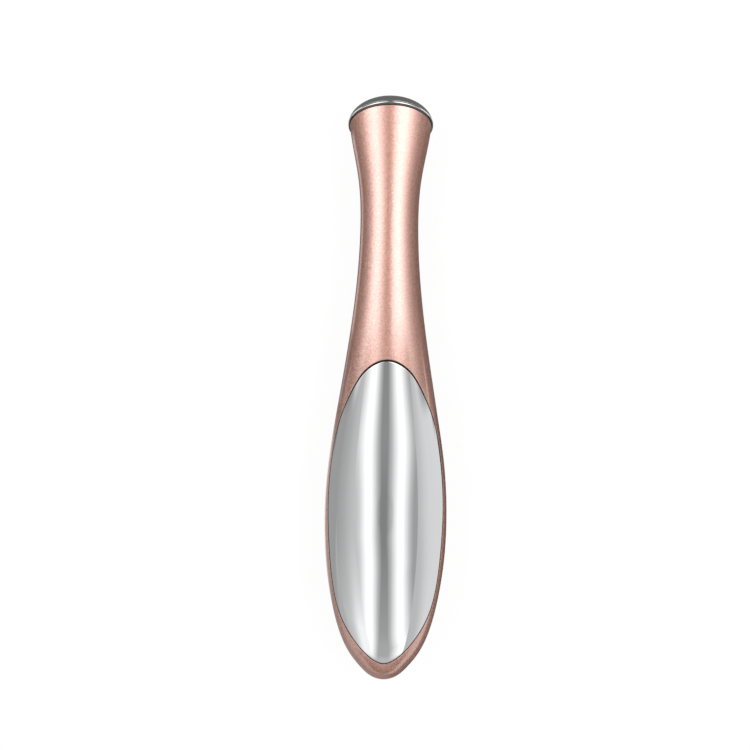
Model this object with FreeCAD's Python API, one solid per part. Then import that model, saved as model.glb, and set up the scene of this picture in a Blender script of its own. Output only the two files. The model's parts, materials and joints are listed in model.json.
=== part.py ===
"""Heated eye massager wand with a vibrating head, as separate named pieces.

The wand lies on its back: +Y runs from the tail to the massage head, +X is its right-hand side and +Z
points out of the chrome grip plate. The origin is under the middle of the wand, on the surface it lies on.
All sizes are in millimetres.

The outer form is one surface whose cross-sections are ellipses. Pieces that share it, such as the
housing, the grip plate and the liner under it, are cut from that same form at different depths.
"""

import FreeCAD, Part
import math
import os

from FreeCAD import Matrix, Placement, Rotation, Vector

# ---------------------------------------------------------------- driving dimensions

# Outer form: (position along the wand, half width, height of its underside, height of its top).
BODY_STATIONS = [
    (-67.5, 0.0, 9.2, 9.2),
    (-66.6, 3.1, 6.9, 11.5),
    (-64.7, 5.3, 5.3, 13.2),
    (-61.0, 8.2, 3.25, 15.45),
    (-55.5, 10.65, 1.55, 17.35),
    (-48.0, 12.5, 0.35, 19.05),
    (-40.0, 13.65, -0.2, 20.2),
    (-29.6, 14.1, -0.4, 20.8),
    (-18.5, 13.5, -0.2, 20.2),
    (-7.4, 11.9, 0.5, 18.9),
    (7.4, 9.5, 2.0, 17.3),
    (22.2, 7.57, 3.3, 16.2),
    (37.0, 6.7, 3.8, 15.8),
    (48.0, 7.28, 3.4, 16.2),
    (55.5, 8.65, 2.4, 17.2),
    (61.0, 9.55, 1.65, 17.85),
    (70.0, 10.6, 0.9, 18.6),
]
TAIL_BLUNTNESS = 0.74  # half thickness over half width at the very tip
AXIS_HEIGHT = 9.8  # the seam's edge faces point at this line inside the wand

# Outline of the grip plate seen from above: (position along the wand, half width).
PLATE_STATIONS = [
    (6.1, 0.0),
    (4.9, 3.6),
    (1.85, 6.6),
    (-3.7, 9.45),
    (-11.1, 11.75),
    (-22.0, 13.1),
    (-33.0, 13.15),
    (-44.5, 12.15),
    (-52.5, 10.2),
    (-58.0, 7.2),
    (-62.0, 3.7),
    (-63.8, 0.0),
]
SEAM_GAP = 0.18  # between grip plate and housing
NAIL_GAP = 0.22  # wider still at the neck end, where a fingernail goes in
NAIL_REACH = 7.0  # length of that wider stretch

WALL = 1.6
PLATE_THICKNESS = 1.2
LINER_THICKNESS = 0.9
LIP_DEPTH = 1.35  # the ledge under the plate's edge starts this deep
LIP_THICKNESS = 0.9
LIP_REACH = 1.0
LINER_MARGIN = 1.7
CLEAR = 0.1  # between pieces that come apart

# Massage head, on a plane that faces forwards and down, towards the skin.
HEAD_TILT = 32.0  # degrees between the head's axis and the wand's
HEAD_CENTRE = Vector(0, 60.45, 10.33)
CAP_RADIUS = 9.8
CAP_SKIRT = 0.5
CAP_DOME = 4.354
CAP_FLAT_LEVEL = 3.4  # inner face that the heater lies against
COLLAR_FLANGE = 0.35
COLLAR_RADIUS = 9.3
COLLAR_PLUG = 4.0
HEATER_RADIUS = 3.9
HEAD_SCREW_X = 5.1

# Battery: one AAA cell.
CELL_RADIUS = 5.25
CELL_LENGTH = 44.5
CELL_TAIL = -52.2
CELL_HEIGHT = 10.3
NUB_RADIUS = 1.9
NUB_LENGTH = 1.0
JACKET_THICKNESS = 0.1

# Tray that carries the battery and the cover's sockets.
TRAY_TAIL, TRAY_NECK = -57.4, -5.6
TRAY_TOP = 11.8
FLANGE_LOW, FLANGE_HIGH = 6.0, 7.2
TRAY_HALF_WIDTH = 11.2
TRAY_SCREWS = [(8.4, -38.0), (-8.4, -38.0), (8.4, -16.0), (-8.4, -16.0)]
PEG_PLACES = [(7.9, -46.5), (-7.9, -46.5), (7.5, -11.0), (-7.5, -11.0)]
PEG_RADIUS = 1.1
PEG_TIP = 8.4

# Circuit board in the neck end of the handle.
BOARD_LOW, BOARD_HIGH = 8.2, 9.2
BOARD_TAIL, BOARD_NECK = -4.4, 27.0
BOARD_SCREWS = [(0.0, -2.4), (0.0, 24.0)]

# Power button on the wand's back, and the light beside it.
BUTTON_PLACE = 11.0
BUTTON_RADIUS = 2.9
BUTTON_BORE = 3.0
BUTTON_PROUD = 0.5
BUTTON_TRAVEL = 0.4
RING_RADIUS = 3.9
RING_PROUD = 0.25
RING_DEPTH = 0.8
SEAT_LEVEL = 4.9
LIGHT_PLACE = 19.0
LIGHT_RADIUS = 1.0

# Vibration motor in the neck.
MOTOR_TAIL, MOTOR_FRONT = 39.0, 50.0
MOTOR_RADIUS = 3.0
SHAFT_RADIUS = 0.4
WEIGHT_RADIUS = 2.6
WEIGHT_SPAN = (51.2, 54.6)

SEAM_SAMPLES = 64
LEAD_RADIUS = 0.4
STRIP_THICKNESS = 0.25  # of bent contact strips


# ---------------------------------------------------------------- the outer form


def lerp_table(table, x):
    """Value at x in a list of (x, value, ...) rows sorted by x, by straight lines between rows."""
    for low, high in zip(table, table[1:]):
        if x <= high[0]:
            share = (x - low[0]) / (high[0] - low[0])
            return [a + (b - a) * share for a, b in zip(low[1:], high[1:])]
    return list(table[-1][1:])


def form_curves(stations):
    """Two curves with the same knots: (half width, y) and (half thickness, y, mid height)."""
    steps = [0.0]
    for here, there in zip(stations, stations[1:]):
        steps.append(steps[-1] + math.hypot(there[0] - here[0], there[1] - here[1]))
    width = Part.BSplineCurve()
    height = Part.BSplineCurve()
    last, before = stations[-1], stations[-2]
    run = last[0] - before[0]
    width.interpolate(
        Points=[Vector(a, y, 0) for y, a, low, top in stations],
        Parameters=steps,
        InitialTangent=Vector(1, 0, 0),
        FinalTangent=Vector((last[1] - before[1]) / run, 1, 0),
        Scale=False,
    )
    height.interpolate(
        Points=[Vector((top - low) / 2, y, (top + low) / 2) for y, a, low, top in stations],
        Parameters=steps,
        InitialTangent=Vector(TAIL_BLUNTNESS, 0, 0),
        FinalTangent=Vector((last[3] - last[2] - before[3] + before[2]) / 2 / run, 1, 0),
        Scale=False,
    )
    return width, height


def curve_samples(curve, count=400):
    """Points spread evenly over a curve's parameter range."""
    first, last = curve.FirstParameter, curve.LastParameter
    return [curve.value(first + (last - first) * i / count) for i in range(count + 1)]


def offset_profile(points, depth):
    """(y, radius) rows moved inwards by depth along the normal of the curve through (x, y) points."""
    rows = []
    for i, point in enumerate(points):
        ahead = points[min(i + 1, len(points) - 1)]
        behind = points[max(i - 1, 0)]
        run, rise = ahead.y - behind.y, ahead.x - behind.x
        length = math.hypot(run, rise)
        if i == 0:
            run, rise, length = 0.0, 1.0, 1.0
        rows.append((point.y + depth * rise / length, point.x - depth * run / length))
    return rows


OUTER_WIDTH, OUTER_HEIGHT = form_curves(BODY_STATIONS)
WIDTH_SAMPLES = curve_samples(OUTER_WIDTH)
HEIGHT_SAMPLES = curve_samples(OUTER_HEIGHT)
SIZE_TABLE = [(w.y, w.x, h.x, h.z) for w, h in zip(WIDTH_SAMPLES, HEIGHT_SAMPLES)]


def half_sizes(y):
    """(half width, half thickness, mid height) of the outer form at y."""
    return lerp_table(SIZE_TABLE, y)


def stations_at_depth(depth):
    """The outer form's stations, moved in by depth all round."""
    sides = offset_profile(WIDTH_SAMPLES, depth)
    tops = offset_profile(HEIGHT_SAMPLES, depth)
    tail = BODY_STATIONS[0][0] + depth
    mid = BODY_STATIONS[0][2]
    rows = [(tail, 0.0, mid, mid)]
    for y, a, low, top in BODY_STATIONS[1:]:
        share = (y - BODY_STATIONS[0][0]) / (BODY_STATIONS[-1][0] - BODY_STATIONS[0][0])
        place = tail + share * (BODY_STATIONS[-1][0] - tail)
        half_width = lerp_table(sides, place)[0]
        half_thickness = lerp_table(tops, place)[0]
        centre = half_sizes(place)[2]
        rows.append((place, half_width, centre - half_thickness, centre + half_thickness))
    return rows


def form_solid(depth=0.0):
    """The closed solid inside the outer form at a depth; its sections are exact ellipses."""
    stations = BODY_STATIONS if depth == 0 else stations_at_depth(depth)
    width, height = form_curves(stations)
    corner = math.sqrt(0.5)
    across = [1, 1, 0, -1, -1, -1, 0, 1, 1]
    up = [0, 1, 1, 1, 0, -1, -1, -1, 0]
    weights = [1, corner, 1, corner, 1, corner, 1, corner, 1]
    poles = [
        [Vector(w.x * x, w.y, h.z + h.x * z) for x, z in zip(across, up)]
        for w, h in zip(width.getPoles(), height.getPoles())
    ]
    surface = Part.BSplineSurface()
    surface.buildFromPolesMultsKnots(
        poles,
        width.getMultiplicities(),
        [3, 2, 2, 2, 3],
        width.getKnots(),
        [0, 1, 2, 3, 4],
        False,
        False,
        width.Degree,
        2,
        [list(weights) for _ in poles],
    )
    skin = surface.toShape()
    mouth = [edge for edge in skin.Edges if not edge.Degenerated and edge.isClosed()][0]
    shell = Part.makeShell([skin, Part.Face(Part.Wire(mouth))])
    shell.sewShape(1e-4)
    solid = Part.makeSolid(shell)
    return solid if solid.Volume > 0 else solid.reversed()


def skin_layer(outer_depth, inner_depth):
    """The shell between two depths of the outer form."""
    return form_solid(outer_depth).cut(form_solid(inner_depth))


# ---------------------------------------------------------------- the seam round the grip plate


def closed_curve(points):
    """A smooth closed curve that passes through the points at whole-number parameters."""
    curve = Part.BSplineCurve()
    steps = [float(i) for i in range(len(points) + 1)]
    curve.interpolate(Points=points, Parameters=steps, PeriodicFlag=True)
    return curve


def seam_outline():
    """The grip plate's outline in plan, as a closed curve."""
    right = [Vector(x, y, 0) for y, x in PLATE_STATIONS]
    left = [Vector(-x, y, 0) for y, x in reversed(PLATE_STATIONS[1:-1])]
    return closed_curve(right + left)


def on_form(x, y):
    """The point of the outer form's upper half above (x, y)."""
    half_width, half_thickness, mid = half_sizes(y)
    return Vector(x, y, mid + half_thickness * math.sqrt(max(1 - (x / half_width) ** 2, 0)))


def form_normal(x, y):
    """Outward normal of the outer form's upper half above (x, y)."""
    step = 0.05
    along = on_form(x, y + step) - on_form(x, y - step)
    across = on_form(x + step, y) - on_form(x - step, y)
    normal = across.cross(along)
    return normal.normalize()


def seam_fan(outset, extra_at_nail=0.0):
    """Everything above the wand's axis that lies inside the seam, moved outwards by outset.

    Its side faces are ruled, and their lines point at the axis, so they cross the wall squarely.
    """
    outline = seam_outline()
    first, last = outline.FirstParameter, outline.LastParameter
    slopes = []
    for i in range(SEAM_SAMPLES):
        at = first + (last - first) * i / SEAM_SAMPLES
        plan = outline.value(at)
        heading = outline.tangent(at)[0]
        point = on_form(plan.x, plan.y)
        normal = form_normal(plan.x, plan.y)
        along = Vector(heading.x, heading.y, -(normal.x * heading.x + normal.y * heading.y) / normal.z)
        outwards = along.normalize().cross(normal)
        if outwards.y * (plan.y + 30) + outwards.x * plan.x < 0:
            outwards = outwards * -1
        nail = max(0.0, 1 - (PLATE_STATIONS[0][0] - plan.y) / NAIL_REACH)
        moved = point + outwards * (outset + extra_at_nail * nail * nail)
        slopes.append(Vector(moved.x / (moved.z - AXIS_HEIGHT), moved.y, 0))
    levels = (AXIS_HEIGHT + 0.4, AXIS_HEIGHT + 14.2)
    wires = []
    for level in levels:
        points = [Vector(s.x * (level - AXIS_HEIGHT), s.y, level) for s in slopes]
        wires.append(Part.Wire(closed_curve(points).toShape()))
    return Part.makeLoft(wires, True, True)


# ---------------------------------------------------------------- small makers


def box(low, high):
    """A block between two corners."""
    return Part.makeBox(high[0] - low[0], high[1] - low[1], high[2] - low[2], Vector(*low))


def rod(x, y, radius, low, high):
    """An upright cylinder."""
    return Part.makeCylinder(radius, high - low, Vector(x, y, low))


def long_rod(radius, tail, front, x=0.0, z=AXIS_HEIGHT):
    """A cylinder along the wand."""
    return Part.makeCylinder(radius, front - tail, Vector(x, tail, z), Vector(0, 1, 0))


def fused(shapes):
    """One solid from several that touch or overlap."""
    whole = shapes[0].fuse(list(shapes[1:])) if len(shapes) > 1 else shapes[0]
    return whole.removeSplitter()


def tube(points, radius):
    """A round lead along straight runs joined by arcs as large as the runs allow."""
    points = [Vector(*p) for p in points]
    edges = []
    start = points[0]
    for before, corner, after in zip(points, points[1:], points[2:]):
        back, ahead = before - corner, after - corner
        cut = 0.45 * min(back.Length, ahead.Length)
        back.normalize()
        ahead.normalize()
        enter, leave = corner + back * cut, corner + ahead * cut
        half = back.getAngle(ahead) / 2
        bisector = (back + ahead).normalize()
        centre = corner + bisector * (cut / math.cos(half))
        middle = centre - bisector * (cut * math.tan(half))
        edges.append(Part.LineSegment(start, enter).toShape())
        edges.append(Part.Arc(enter, middle, leave).toShape())
        start = leave
    edges.append(Part.LineSegment(start, points[-1]).toShape())
    path = Part.Wire(edges)
    profile = Part.Wire(Part.makeCircle(radius, points[0], points[1] - points[0]))
    return path.makePipeShell([profile], True, True)


def bent_strip(path, left, right):
    """A strip of sheet metal bent along (y, z) points, between two x positions."""
    upper, lower = [], []
    for i, (y, z) in enumerate(path):
        here = Vector(0, y, z)
        before = Vector(0, *path[i - 1]) if i else here
        after = Vector(0, *path[i + 1]) if i + 1 < len(path) else here
        heads = [v.normalize() for v in (here - before, after - here) if v.Length > 0]
        heading = (heads[0] + heads[-1]).normalize()
        reach = STRIP_THICKNESS / 2 / max(heading.dot(heads[0]), 0.5)
        side = Vector(0, -heading.z, heading.y) * reach
        upper.append(Vector(left, y, z) + side)
        lower.append(Vector(left, y, z) - side)
    outline = upper + lower[::-1]
    strip = Part.Face(Part.makePolygon(outline + outline[:1])).extrude(Vector(right - left, 0, 0))
    return strip if strip.Volume > 0 else strip.reversed()


def in_head_frame(shape):
    """Moves a shape made about +Z at the origin onto the tilted head plane."""
    turned = shape.copy()
    turned.Placement = Placement(HEAD_CENTRE, Rotation(Vector(1, 0, 0), -(90 + HEAD_TILT)))
    return turned


def head_point(x, up, level):
    """A point given in the head's own frame: sideways, up its face, and out along its axis."""
    return in_head_frame(Part.Vertex(Vector(x, -up, level))).Point


def head_rod(radius, low, high, x=0.0):
    """A cylinder along the head's axis, between two levels above the head plane."""
    return in_head_frame(Part.makeCylinder(radius, high - low, Vector(x, 0, low)))


def below_head_plane(level=0.0):
    """A block that holds everything on the wand's side of the head plane."""
    return in_head_frame(box((-60, -120, level - 180), (60, 120, level)))


def screw(x, y, head_low, shank, head_radius=1.4, shank_radius=0.65):
    """A small pan-head screw with a cross slot, pointing down."""
    head = rod(x, y, head_radius, head_low, head_low + 0.9)
    head = head.makeFillet(0.3, [max(head.Edges, key=lambda e: e.BoundBox.ZMin)])
    top = head_low + 0.9
    for half_x, half_y in ((head_radius * 0.6, 0.15), (0.15, head_radius * 0.6)):
        head = head.cut(box((x - half_x, y - half_y, top - 0.4), (x + half_x, y + half_y, top + 1)))
    return head.fuse(rod(x, y, shank_radius, head_low - shank, head_low)).removeSplitter()


# ---------------------------------------------------------------- housing and cover


def housing():
    """The painted outer shell: one moulding, open at the head and above the battery."""
    lying_plane = box((-30, -80, -10), (30, 80, 0))
    whole = form_solid().common(below_head_plane()).cut(lying_plane)
    cavity = form_solid(WALL)
    shell = whole.cut(cavity).cut(seam_fan(SEAM_GAP / 2, NAIL_GAP))
    lip = skin_layer(LIP_DEPTH, LIP_DEPTH + LIP_THICKNESS)
    lip = lip.common(seam_fan(1.6)).cut(seam_fan(-LIP_REACH))
    pieces = [shell, lip]
    for x, y in TRAY_SCREWS:
        pieces.append(rod(x, y, 1.9, 0.5, FLANGE_LOW).common(form_solid(WALL / 2)))
    for x, y in BOARD_SCREWS:
        pieces.append(rod(x, y, 1.7, 0.5, BOARD_LOW).common(form_solid(WALL / 2)))
    pieces.append(rod(0, BUTTON_PLACE, 4.9, 1.5, SEAT_LEVEL).common(form_solid(WALL / 2)))
    body = fused(pieces)
    for x, y in TRAY_SCREWS:
        body = body.cut(rod(x, y, 0.65, 3.0, FLANGE_LOW + 1))
    for x, y in BOARD_SCREWS:
        body = body.cut(rod(x, y, 0.65, BOARD_LOW - 2.6, BOARD_LOW + 1))
    ring_pocket = rod(0, BUTTON_PLACE, RING_RADIUS, -1, 12).cut(form_solid(RING_DEPTH))
    body = body.cut(ring_pocket.common(box((-9, 0, -1), (9, 25, AXIS_HEIGHT))))
    body = body.cut(rod(0, BUTTON_PLACE, BUTTON_BORE, -1, SEAT_LEVEL + 1))
    return body.cut(rod(0, LIGHT_PLACE, LIGHT_RADIUS, -1, 7))


def grip_plate():
    """The chrome plate: battery cover and the hand's electrode in one."""
    return skin_layer(0, PLATE_THICKNESS).common(seam_fan(-SEAM_GAP / 2))


def cover_liner():
    """Plastic liner bonded under the grip plate, with four pegs that grip in the tray."""
    liner_depth = PLATE_THICKNESS + LINER_THICKNESS
    liner = skin_layer(PLATE_THICKNESS, liner_depth).common(seam_fan(-LINER_MARGIN))
    under_plate = form_solid(PLATE_THICKNESS)
    pegs = [rod(x, y, PEG_RADIUS, PEG_TIP, 20).common(under_plate) for x, y in PEG_PLACES]
    window = rod(*CONTACT_PLACE, 1.9, 12, 20)
    return fused([liner] + pegs).cut(window)


# ---------------------------------------------------------------- massage head


def head_cap():
    """Chromed metal massage cap: a short skirt and a dome, thick enough to spread the heat."""
    foot = COLLAR_FLANGE
    rim = foot + CAP_SKIRT
    dome_radius = CAP_RADIUS - 0.1
    quarter = Part.Ellipse(Vector(0, 0, 0), dome_radius, CAP_DOME)
    arc = Part.ArcOfEllipse(quarter, 0, math.pi / 2).toBSpline().toShape()
    arc.Placement = Placement(Vector(0, 0, rim), Rotation(Vector(1, 0, 0), 90))
    crown = rim + CAP_DOME
    corners = [
        Vector(0, 0, crown),
        Vector(0, 0, CAP_FLAT_LEVEL),
        Vector(6.6, 0, CAP_FLAT_LEVEL),
        Vector(8.6, 0, rim + 0.4),
        Vector(8.6, 0, foot),
        Vector(CAP_RADIUS, 0, foot),
        Vector(CAP_RADIUS, 0, rim),
        Vector(dome_radius, 0, rim),
    ]
    edges = [Part.LineSegment(a, b).toShape() for a, b in zip(corners, corners[1:])]
    face = Part.Face(Part.Wire(Part.__sortEdges__(edges + [arc])))
    cap = face.revolve(Vector(0, 0, 0), Vector(0, 0, 1), 360)
    posts = []
    for side in (-1, 1):
        post = Part.makeCylinder(1.1, CAP_FLAT_LEVEL + 0.3 - foot, Vector(side * HEAD_SCREW_X, 0, foot))
        hole = Part.makeCylinder(0.55, 2.2, Vector(side * HEAD_SCREW_X, 0, foot))
        posts.append(post.cut(hole))
    holes = [Part.makeCylinder(0.55, 2.2, Vector(side * HEAD_SCREW_X, 0, foot)) for side in (-1, 1)]
    return in_head_frame(fused([cap] + posts).cut(holes[0]).cut(holes[1]))


def head_collar():
    """Dark insulating collar that plugs into the housing's mouth and carries the cap."""
    flange = head_rod(COLLAR_RADIUS, 0, COLLAR_FLANGE)
    plug = form_solid(WALL + CLEAR / 2).common(below_head_plane()).cut(below_head_plane(-COLLAR_PLUG))
    hollow = form_solid(WALL + 1.1).common(below_head_plane(-1.0))
    collar = flange.fuse(plug).removeSplitter().cut(hollow)
    collar = collar.cut(head_rod(2.4, -5, 2))
    for side in (-1, 1):
        collar = collar.cut(head_rod(0.7, -5, 2, x=side * HEAD_SCREW_X))
    return collar


def head_screws():
    """Two screws through the collar into the cap."""
    made = []
    for side in (-1, 1):
        head = head_rod(0.95, -1.7, -1.0, x=side * HEAD_SCREW_X)
        shank = head_rod(0.5, -1.0, 2.0, x=side * HEAD_SCREW_X)
        made.append(head.fuse(shank).removeSplitter())
    return Part.makeCompound(made)


def thermal_pad():
    """Soft grey pad that carries heat from the heater into the cap."""
    return head_rod(HEATER_RADIUS, CAP_FLAT_LEVEL - 0.4, CAP_FLAT_LEVEL)


def heater_disc():
    """Thin film heater."""
    return head_rod(HEATER_RADIUS, CAP_FLAT_LEVEL - 0.7, CAP_FLAT_LEVEL - 0.4)


def heater_backplate():
    """Insulating disc that presses the heater against the cap, with a pocket for the sensor."""
    disc = head_rod(HEATER_RADIUS, CAP_FLAT_LEVEL - 1.7, CAP_FLAT_LEVEL - 0.7)
    return disc.cut(head_rod(1.0, 0, CAP_FLAT_LEVEL - 0.7))


def heat_sensor():
    """Bead thermistor in the middle of the backplate."""
    bead = Part.makeSphere(0.8, Vector(0, 0, CAP_FLAT_LEVEL - 1.55))
    return in_head_frame(bead)


def heater_cushion():
    """Foam ring that springs the heater stack off the collar."""
    ring = head_rod(HEATER_RADIUS - 0.2, COLLAR_FLANGE, CAP_FLAT_LEVEL - 1.7)
    return ring.cut(head_rod(2.4, 0, 3))


# ---------------------------------------------------------------- vibration motor


def motor_can():
    """Steel motor can with its front bush."""
    can = long_rod(MOTOR_RADIUS, MOTOR_TAIL, MOTOR_FRONT)
    can = can.makeFillet(0.35, [max(can.Edges, key=lambda e: e.BoundBox.YMin)])
    bush = long_rod(1.0, MOTOR_FRONT, MOTOR_FRONT + 0.6)
    bore = long_rod(SHAFT_RADIUS + 0.06, MOTOR_TAIL + 5, MOTOR_FRONT + 2)
    return can.fuse(bush).removeSplitter().cut(bore)


def motor_endcap():
    """Plastic end cap that the motor's leads come out of."""
    cap = long_rod(MOTOR_RADIUS - 0.1, MOTOR_TAIL - 1.0, MOTOR_TAIL)
    lip = long_rod(1.9, MOTOR_TAIL - 1.5, MOTOR_TAIL - 1.0)
    return cap.fuse(lip).removeSplitter()


def motor_shaft():
    """The motor's spinning shaft."""
    return long_rod(SHAFT_RADIUS, MOTOR_TAIL + 5.2, WEIGHT_SPAN[1] + 0.3)


def vibration_weight():
    """Half-round weight on the shaft: spinning off centre, it shakes the head."""
    tail, front = WEIGHT_SPAN
    weight = long_rod(WEIGHT_RADIUS, tail, front)
    weight = weight.cut(box((-5, tail - 1, AXIS_HEIGHT - 5), (5, front + 1, AXIS_HEIGHT - 0.0)))
    hub = long_rod(1.0, tail, front)
    return weight.fuse(hub).removeSplitter().cut(long_rod(SHAFT_RADIUS, tail - 1, front + 1))


def motor_sleeve():
    """Rubber sleeve that wedges the motor in the neck, with a channel for leads on each side."""
    span = box((-9, 40.5, 0), (9, 49.0, 20))
    sleeve = form_solid(WALL + 0.05).common(span).cut(long_rod(MOTOR_RADIUS, 38, 52))
    for side in (-1, 1):
        inner, outer = sorted((side * 3.6, side * 6.0))
        sleeve = sleeve.cut(box((inner, 38, AXIS_HEIGHT - 1.2), (outer, 52, AXIS_HEIGHT + 1.2)))
    return sleeve


# ---------------------------------------------------------------- battery and tray

CELL_FRONT = CELL_TAIL + CELL_LENGTH
CONTACT_PLACE = (0.0, 1.0)  # where the spring finger reaches the grip plate


def battery_can():
    """The cell's steel can, with the positive nub at the neck end."""
    can = long_rod(CELL_RADIUS - JACKET_THICKNESS, CELL_TAIL, CELL_FRONT - NUB_LENGTH, z=CELL_HEIGHT)
    nub = long_rod(NUB_RADIUS, CELL_FRONT - NUB_LENGTH, CELL_FRONT, z=CELL_HEIGHT)
    return can.fuse(nub).removeSplitter()


def battery_jacket():
    """Printed film round the cell, folded over both ends."""
    tail, front = CELL_TAIL, CELL_FRONT - NUB_LENGTH
    sleeve = long_rod(CELL_RADIUS, tail, front, z=CELL_HEIGHT)
    return sleeve.cut(long_rod(CELL_RADIUS - JACKET_THICKNESS, tail - 1, front + 1, z=CELL_HEIGHT))


def battery_tray():
    """Moulded tray: battery trough, end walls, screw flanges and sockets for the cover's pegs."""
    inside = form_solid(WALL + 0.35)
    span = box((-TRAY_HALF_WIDTH, TRAY_TAIL, 4.2), (TRAY_HALF_WIDTH, TRAY_NECK, TRAY_TOP))
    block = inside.common(span)
    trough_tail, trough_front = TRAY_TAIL + 1.2, TRAY_NECK - 1.2
    for side in (-1, 1):
        inner, outer = sorted((side * 6.4, side * 15))
        flange_outer = box((inner, -70, FLANGE_HIGH), (outer, 10, 30))
        block = block.cut(flange_outer)
        inner, outer = sorted((side * 4.6, side * 15))
        block = block.cut(box((inner, -70, 0), (outer, 10, FLANGE_LOW)))
    trough = long_rod(CELL_RADIUS + 0.15, trough_tail, trough_front, z=CELL_HEIGHT)
    open_top = box((-5.4, trough_tail, CELL_HEIGHT), (5.4, trough_front, 30))
    block = block.cut(trough).cut(open_top)
    thumb = long_rod(7.0, -36, -24, z=16.2)
    block = block.cut(thumb)
    sockets = [rod(x, y, 2.1, FLANGE_LOW, TRAY_TOP - 0.6) for x, y in PEG_PLACES]
    tray = fused([block] + [s.common(inside) for s in sockets])
    tray = tray.cut(trough).cut(open_top)
    for x, y in PEG_PLACES:
        tray = tray.cut(rod(x, y, PEG_RADIUS + CLEAR, FLANGE_HIGH - 0.4, 20))
    for x, y in TRAY_SCREWS:
        tray = tray.cut(rod(x, y, 0.8, 0, 20))
    tray = tray.cut(box((-4.1, TRAY_TAIL + 0.6, 5.6), (4.1, TRAY_TAIL + 1.3, 20)))
    tray = tray.cut(box((-4.1, TRAY_NECK - 1.3, 5.6), (4.1, TRAY_NECK - 0.6, 20)))
    tray = tray.cut(box((-3.4, TRAY_TAIL - 1, 6.3), (-2.4, TRAY_TAIL + 1, 6.8)))
    return tray.cut(box((2.4, TRAY_NECK - 1, 6.3), (3.4, TRAY_NECK + 1, 6.8)))


def negative_plate():
    """Steel plate behind the battery's negative end, with a tail for its lead."""
    y = TRAY_TAIL + 0.8
    plate = box((-3.9, y, 5.8), (3.9, y + 0.3, 13.4))
    return plate.fuse(box((-3.3, TRAY_TAIL - 0.6, 6.4), (-2.5, y, 6.7))).removeSplitter()


def battery_spring():
    """Conical coil spring that pushes the battery forwards."""
    wire, turns, steps = 0.3, 3.0, 60
    back = TRAY_TAIL + 1.1 + wire
    reach = CELL_TAIL - wire - back
    points = []
    for i in range(steps + 1):
        share = i / steps
        angle = 2 * math.pi * turns * share
        radius = 3.6 - 1.3 * share
        x, z = radius * math.cos(angle), radius * math.sin(angle)
        points.append(Vector(x, back + reach * share, CELL_HEIGHT + z))
    coil = Part.BSplineCurve()
    coil.interpolate(points)
    profile = Part.Wire(Part.makeCircle(wire, points[0], coil.tangent(coil.FirstParameter)[0]))
    return Part.Wire(coil.toShape()).makePipeShell([profile], True, False)


def positive_plate():
    """Contact plate with a dimple for the battery's nub and a tail for its lead."""
    y = TRAY_NECK - 1.1
    plate = box((-3.9, y, 5.8), (3.9, y + 0.3, 13.4))
    dimple = long_rod(1.3, CELL_FRONT, y, z=CELL_HEIGHT)
    return fused([plate, dimple, box((2.5, y, 6.4), (3.3, TRAY_NECK + 0.6, 6.7))])


def battery_foam():
    """Strip of foam in the trough that keeps the cell from rattling."""
    trough = long_rod(CELL_RADIUS + 0.14, -44, -16, z=CELL_HEIGHT)
    strip = trough.cut(long_rod(CELL_RADIUS + 0.01, -45, -15, z=CELL_HEIGHT))
    return strip.common(box((-2, -44, 0), (2, -16, CELL_HEIGHT)))


def tray_screws():
    """Four screws that hold the tray to the housing."""
    return Part.makeCompound([screw(x, y, FLANGE_HIGH, 3.4) for x, y in TRAY_SCREWS])


# ---------------------------------------------------------------- circuit board


def circuit_board():
    """The board, cut to the taper of the neck."""
    span = box((-8.3, BOARD_TAIL, BOARD_LOW), (8.3, BOARD_NECK, BOARD_HIGH))
    board = form_solid(WALL + 0.5).common(span)
    for x, y in BOARD_SCREWS:
        board = board.cut(rod(x, y, 0.8, 0, 20))
    return board


def board_screws():
    """Two screws that hold the board to the housing."""
    return Part.makeCompound([screw(x, y, BOARD_HIGH, 2.4) for x, y in BOARD_SCREWS])


def control_chip():
    """Eight-legged control chip."""
    y = 14.0
    body = box((-1.95, y - 2.45, BOARD_HIGH + 0.15), (1.95, y + 2.45, BOARD_HIGH + 1.6))
    body = body.makeChamfer(0.15, [e for e in body.Edges if e.BoundBox.ZMin > BOARD_HIGH + 1.5])
    legs = []
    for side in (-1, 1):
        for i in range(4):
            low = y - 1.905 + i * 1.27 - 0.2
            inner, outer = sorted((side * 1.95, side * 3.0))
            legs.append(box((inner, low, BOARD_HIGH), (outer, low + 0.4, BOARD_HIGH + 0.2)))
            inner, outer = sorted((side * 1.95, side * 2.4))
            legs.append(box((inner, low, BOARD_HIGH + 0.2), (outer, low + 0.4, BOARD_HIGH + 0.8)))
    return fused([body] + legs)


def boost_coil():
    """Inductor that steps the cell's voltage up for the heater."""
    y, half = 7.2, 2.4
    low = BOARD_HIGH
    base = box((-half, y - half, low), (half, y + half, low + 0.6))
    bobbin = rod(0, y, 1.3, low + 0.6, low + 2.2)
    winding = Part.makeTorus(1.55, 0.65, Vector(0, y, low + 1.4))
    top = rod(0, y, 2.1, low + 2.2, low + 2.8)
    return fused([base, bobbin, winding, top])


def capacitors():
    """Two small drum capacitors and four chip capacitors."""
    made = []
    for x in (-4.6, 4.6):
        drum = rod(x, 1.6, 1.9, BOARD_HIGH, BOARD_HIGH + 3.1)
        made.append(drum.makeFillet(0.3, [max(drum.Edges, key=lambda e: e.BoundBox.ZMin)]))
    for x, y in ((-4.4, 8.0), (4.4, 8.0), (-3.8, 19.4), (3.8, 19.4)):
        made.append(box((x - 0.4, y - 0.8, BOARD_HIGH), (x + 0.4, y + 0.8, BOARD_HIGH + 0.8)))
    return Part.makeCompound(made)


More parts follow.
